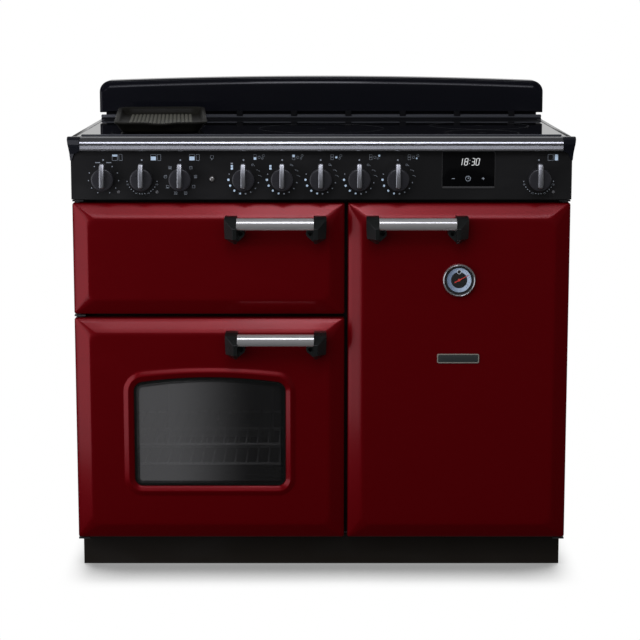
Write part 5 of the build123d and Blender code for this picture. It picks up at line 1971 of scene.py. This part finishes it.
@dataclass
class Studio:
    """The pale floor, the soft lights and the camera, in metres and degrees, its lens in millimetres.

    Attributes:
        shadow_reach: How far the shadow on the floor reaches.
        clear_reach: Where beside the cooker the shadow starts to clear and is gone.
        shadow_ends: Where the shadow's ramp starts and ends, and how light the floor looks at both.
        ambient: Strength of the surround for dull colour, at the far left and the far right.
        sky: Strength of the wide light from the upper left.
    """

    sensor: float = 36.0
    lens: float = 102.76
    eye: Triple = (-0.0028, -3.8616, 1.1715)
    pitch: float = 8.52
    shift: float = -0.085
    floor_reach: Flat = (1.15, 0.78)
    shadow_reach: float = 0.13
    clear_reach: Flat = (0.465, 0.535)
    shadow_ends: Ends = (0.40, 0.97, 0.30, 1.0)
    floor_colour: Colour = (0.22, 0.22, 0.22)
    ambient: Flat = (0.64, 0.24)
    light_colour: Colour = (0.97, 0.975, 1.09)
    sky: float = 1.15
    sky_spread: float = 70.0
    sky_way: Triple = (0.50, 0.65, -0.57)

    def build(self) -> None:
        """Set the stage."""
        bpy.context.scene.view_settings.view_transform = "Standard"
        self.build_floor()
        self.build_world()
        self.build_lights()
        self.build_sun()
        self.build_camera()

    def build_floor(self) -> None:
        """Lay a small pale floor, white to the eye, that keeps the shadow where the cooker stands."""
        mesh = bpy.data.meshes.new("studio_floor")
        work = bmesh.new()
        wide, deep = self.floor_reach
        work.faces.new([work.verts.new((wide * u, deep * v, 0.0)) for u, v in circle(1.0, 96)])
        work.to_mesh(mesh)
        work.free()
        floor = bpy.data.objects.new("studio_floor", mesh)
        bpy.context.scene.collection.objects.link(floor)
        material = bpy.data.materials.new("studio_floor")
        material.use_nodes = True
        tree = material.node_tree
        nodes = tree.nodes
        shader = nodes["Principled BSDF"]
        shader.inputs["Base Color"].default_value = (*self.floor_colour, 1.0)
        shader.inputs["Roughness"].default_value = 0.7
        shader.inputs["Specular IOR Level"].default_value = 0.1
        where, split, beside, strength = add_nodes(tree, "TexCoord", "SeparateXYZ", "Math", "Mix")
        shade, white = add_nodes(tree, "AmbientOcclusion", "Emission")
        ray, blend = add_nodes(tree, "LightPath", "MixShader")
        beside.operation = "ABSOLUTE"
        strength.inputs[3].default_value = 1.0
        shade.inputs["Distance"].default_value = self.shadow_reach
        shade.samples = 16
        clear = self.ramp(tree, (*self.clear_reach, 0.0, 1.0))
        soften = self.ramp(tree, self.shadow_ends, soft=False)
        wire(
            tree,
            (shade, "AO", soften, "Value"),
            (where, "Object", split, 0),
            (split, "X", beside, 0),
            (beside, 0, clear, "Value"),
            (clear, "Result", strength, 0),
            (soften, "Result", strength, 2),
            (strength, 0, white, "Strength"),
            (shader, 0, blend, 1),
            (white, 0, blend, 2),
            (blend, 0, nodes["Material Output"], "Surface"),
        )
        tree.links.new(self.seen_mask(tree, ray), blend.inputs[0])
        mesh.materials.append(material)
        floor.visible_glossy = False

    @staticmethod
    def ramp(tree: Tree, ends: Ends, soft: bool = True) -> Node:
        """Add a ramp from one value to another.

        Args:
            tree: The node tree.
            ends: Where the ramp starts and ends, and its value at both.
            soft: Whether it eases in and out.

        Returns:
            The ramp's node.
        """
        node = tree.nodes.new("ShaderNodeMapRange")
        node.interpolation_type = "SMOOTHSTEP" if soft else "LINEAR"
        for label, value in zip(("From Min", "From Max", "To Min", "To Max"), ends):
            node.inputs[label].default_value = value
        return node

    @staticmethod
    def seen_mask(tree: Tree, ray: Node) -> Socket:
        """Add up the camera, glossy and transmission rays, which see the white background.

        Args:
            tree: The node tree.
            ray: Its Light Path node.

        Returns:
            The mask's socket.
        """
        total = ray.outputs["Is Camera Ray"]
        for label in ("Is Glossy Ray", "Is Transmission Ray"):
            add = tree.nodes.new("ShaderNodeMath")
            add.operation = "MAXIMUM"
            tree.links.new(total, add.inputs[0])
            tree.links.new(ray.outputs[label], add.inputs[1])
            total = add.outputs[0]
        return total

    def build_world(self) -> None:
        """Make the white surround: gloss sees it low behind the cooker, dull colour most at the left."""
        world = bpy.data.worlds.new("studio")
        bpy.context.scene.world = world
        world.use_nodes = True
        tree = world.node_tree
        background = tree.nodes["Background"]
        ray, where, split = add_nodes(tree, "LightPath", "TexCoord", "SeparateXYZ")
        ambient, seen = add_nodes(tree, "Mix", "Mix")
        above, level, direct = add_nodes(tree, "Math", "Math", "Math")
        above.operation = level.operation = "MULTIPLY"
        direct.operation = "MAXIMUM"
        seen.inputs[3].default_value = 1.0
        room = self.ramp(tree, (-0.45, 0.4, 0.05, 0.7))
        low_cut = self.ramp(tree, (-0.12, -0.02, 0.1, 1.0))
        high_cut = self.ramp(tree, (0.15, 0.45, 1.0, 0.15))
        side = self.ramp(tree, (-1.0, 1.0, *self.ambient), soft=False)
        wire(
            tree,
            (where, "Generated", split, 0),
            (split, "Y", room, "Value"),
            (split, "Z", low_cut, "Value"),
            (split, "Z", high_cut, "Value"),
            (room, "Result", above, 0),
            (low_cut, "Result", above, 1),
            (above, 0, level, 0),
            (high_cut, "Result", level, 1),
            (split, "X", side, "Value"),
            (side, "Result", ambient, 2),
            (ray, "Is Glossy Ray", ambient, 0),
            (level, 0, ambient, 3),
            (ray, "Is Camera Ray", direct, 0),
            (ray, "Is Transmission Ray", direct, 1),
            (direct, 0, seen, 0),
            (ambient, 0, seen, 2),
            (seen, 0, background, "Strength"),
        )
        background.inputs["Color"].default_value = (1.0, 1.0, 1.0, 1.0)

    def build_lights(self) -> None:
        """Hang soft boxes over the front and the top, and stand a tall one at the left."""
        # Each box: its name, where it is and what it faces, in metres, its width and height, and its power
        lights = (
            ("over_front_soft_box", (0.0, -2.05, 2.10), (0.0, -0.2, 0.62), (1.9, 1.1), 7.3),
            ("front_strip_light", (0.0, -2.03, 2.08), (0.0, -0.2, 0.62), (2.2, 0.13), 3.8),
            ("middle_soft_box", (-0.05, -1.90, 2.30), (0.0, -0.2, 0.62), (0.45, 0.7), 3.3),
            ("left_soft_box", (-1.45, -1.15, 0.64), (-0.3, -0.1, 0.6), (1.0, 1.5), 6.9),
            ("top_soft_box", (0.0, 0.5, 3.0), (0.0, 0.0, 0.9), (2.2, 1.4), 16.0),
        )
        for name, place, target, size, power in lights:
            lamp = bpy.data.lights.new(name, "AREA")
            lamp.shape = "RECTANGLE"
            lamp.size, lamp.size_y = size
            lamp.energy = power
            lamp.color = self.light_colour
            light = self.aimed(lamp, Vector(target) - Vector(place))
            light.location = place
            light.visible_glossy = name != "top_soft_box"

    def build_sun(self) -> None:
        """Add the wide light from the upper left that only dull colour takes, since no box stands there."""
        lamp = bpy.data.lights.new("left_sky", "SUN")
        lamp.energy = self.sky
        lamp.angle = math.radians(self.sky_spread)
        self.aimed(lamp, Vector(self.sky_way)).visible_glossy = False

    @staticmethod
    def aimed(lamp: bpy.types.Light, way: Vector) -> bpy.types.Object:
        """Add a lamp to the scene, turned to shine in a direction.

        Args:
            lamp: The lamp.
            way: The direction.

        Returns:
            The light.
        """
        light = bpy.data.objects.new(lamp.name, lamp)
        light.rotation_euler = way.to_track_quat("-Z", "Y").to_euler()
        bpy.context.scene.collection.objects.link(light)
        return light

    def build_camera(self) -> None:
        """Stand the camera where the photograph was taken from."""
        data = bpy.data.cameras.new("photo_camera")
        data.lens = self.lens
        data.sensor_width = self.sensor
        data.shift_y = self.shift
        camera = bpy.data.objects.new("photo_camera", data)
        camera.location = self.eye
        camera.rotation_euler = (math.radians(90.0 - self.pitch), 0.0, 0.0)
        bpy.context.scene.collection.objects.link(camera)
        bpy.context.scene.camera = camera


def main() -> None:
    """Build the studio and every part of the cooker."""
    logging.basicConfig(level=logging.INFO, format="%(name)s: %(message)s")
    Studio().build()
    CarriedNodes().build()
    skins = {
        "grill": DoorSkin("grill_door_panel", "grill_door"),
        "main": DoorSkin("main_door_panel", "main_oven_door", "main_door_glass"),
        "tall": DoorSkin("tall_door_panel", "tall_oven_door"),
    }
    for skin in skins.values():
        skin.build()
    OvenWindow(skins["main"]).build()
    for door, skin in skins.items():
        DoorHandle(door, skin.body).build()
    knob_names = [name for name in frame["record"]["behaviour"]["bodies"] if name.endswith("_knob")]
    knobs = {name: Knob(name) for name in knob_names}
    for knob in knobs.values():
        knob.build()
    ControlPanel().build(knobs)
    HobTrim().build()
    HobTop().build()
    Splashback().build()
    Griddle().build()
    Gauge().build()
    WireRacks("main_oven_racks", (208.0, 249.0)).build()
    WireRacks("tall_oven_racks", (234.0, 394.0, 554.0)).build()
    BackScrews().build()


if __name__ == "__main__":
    main()
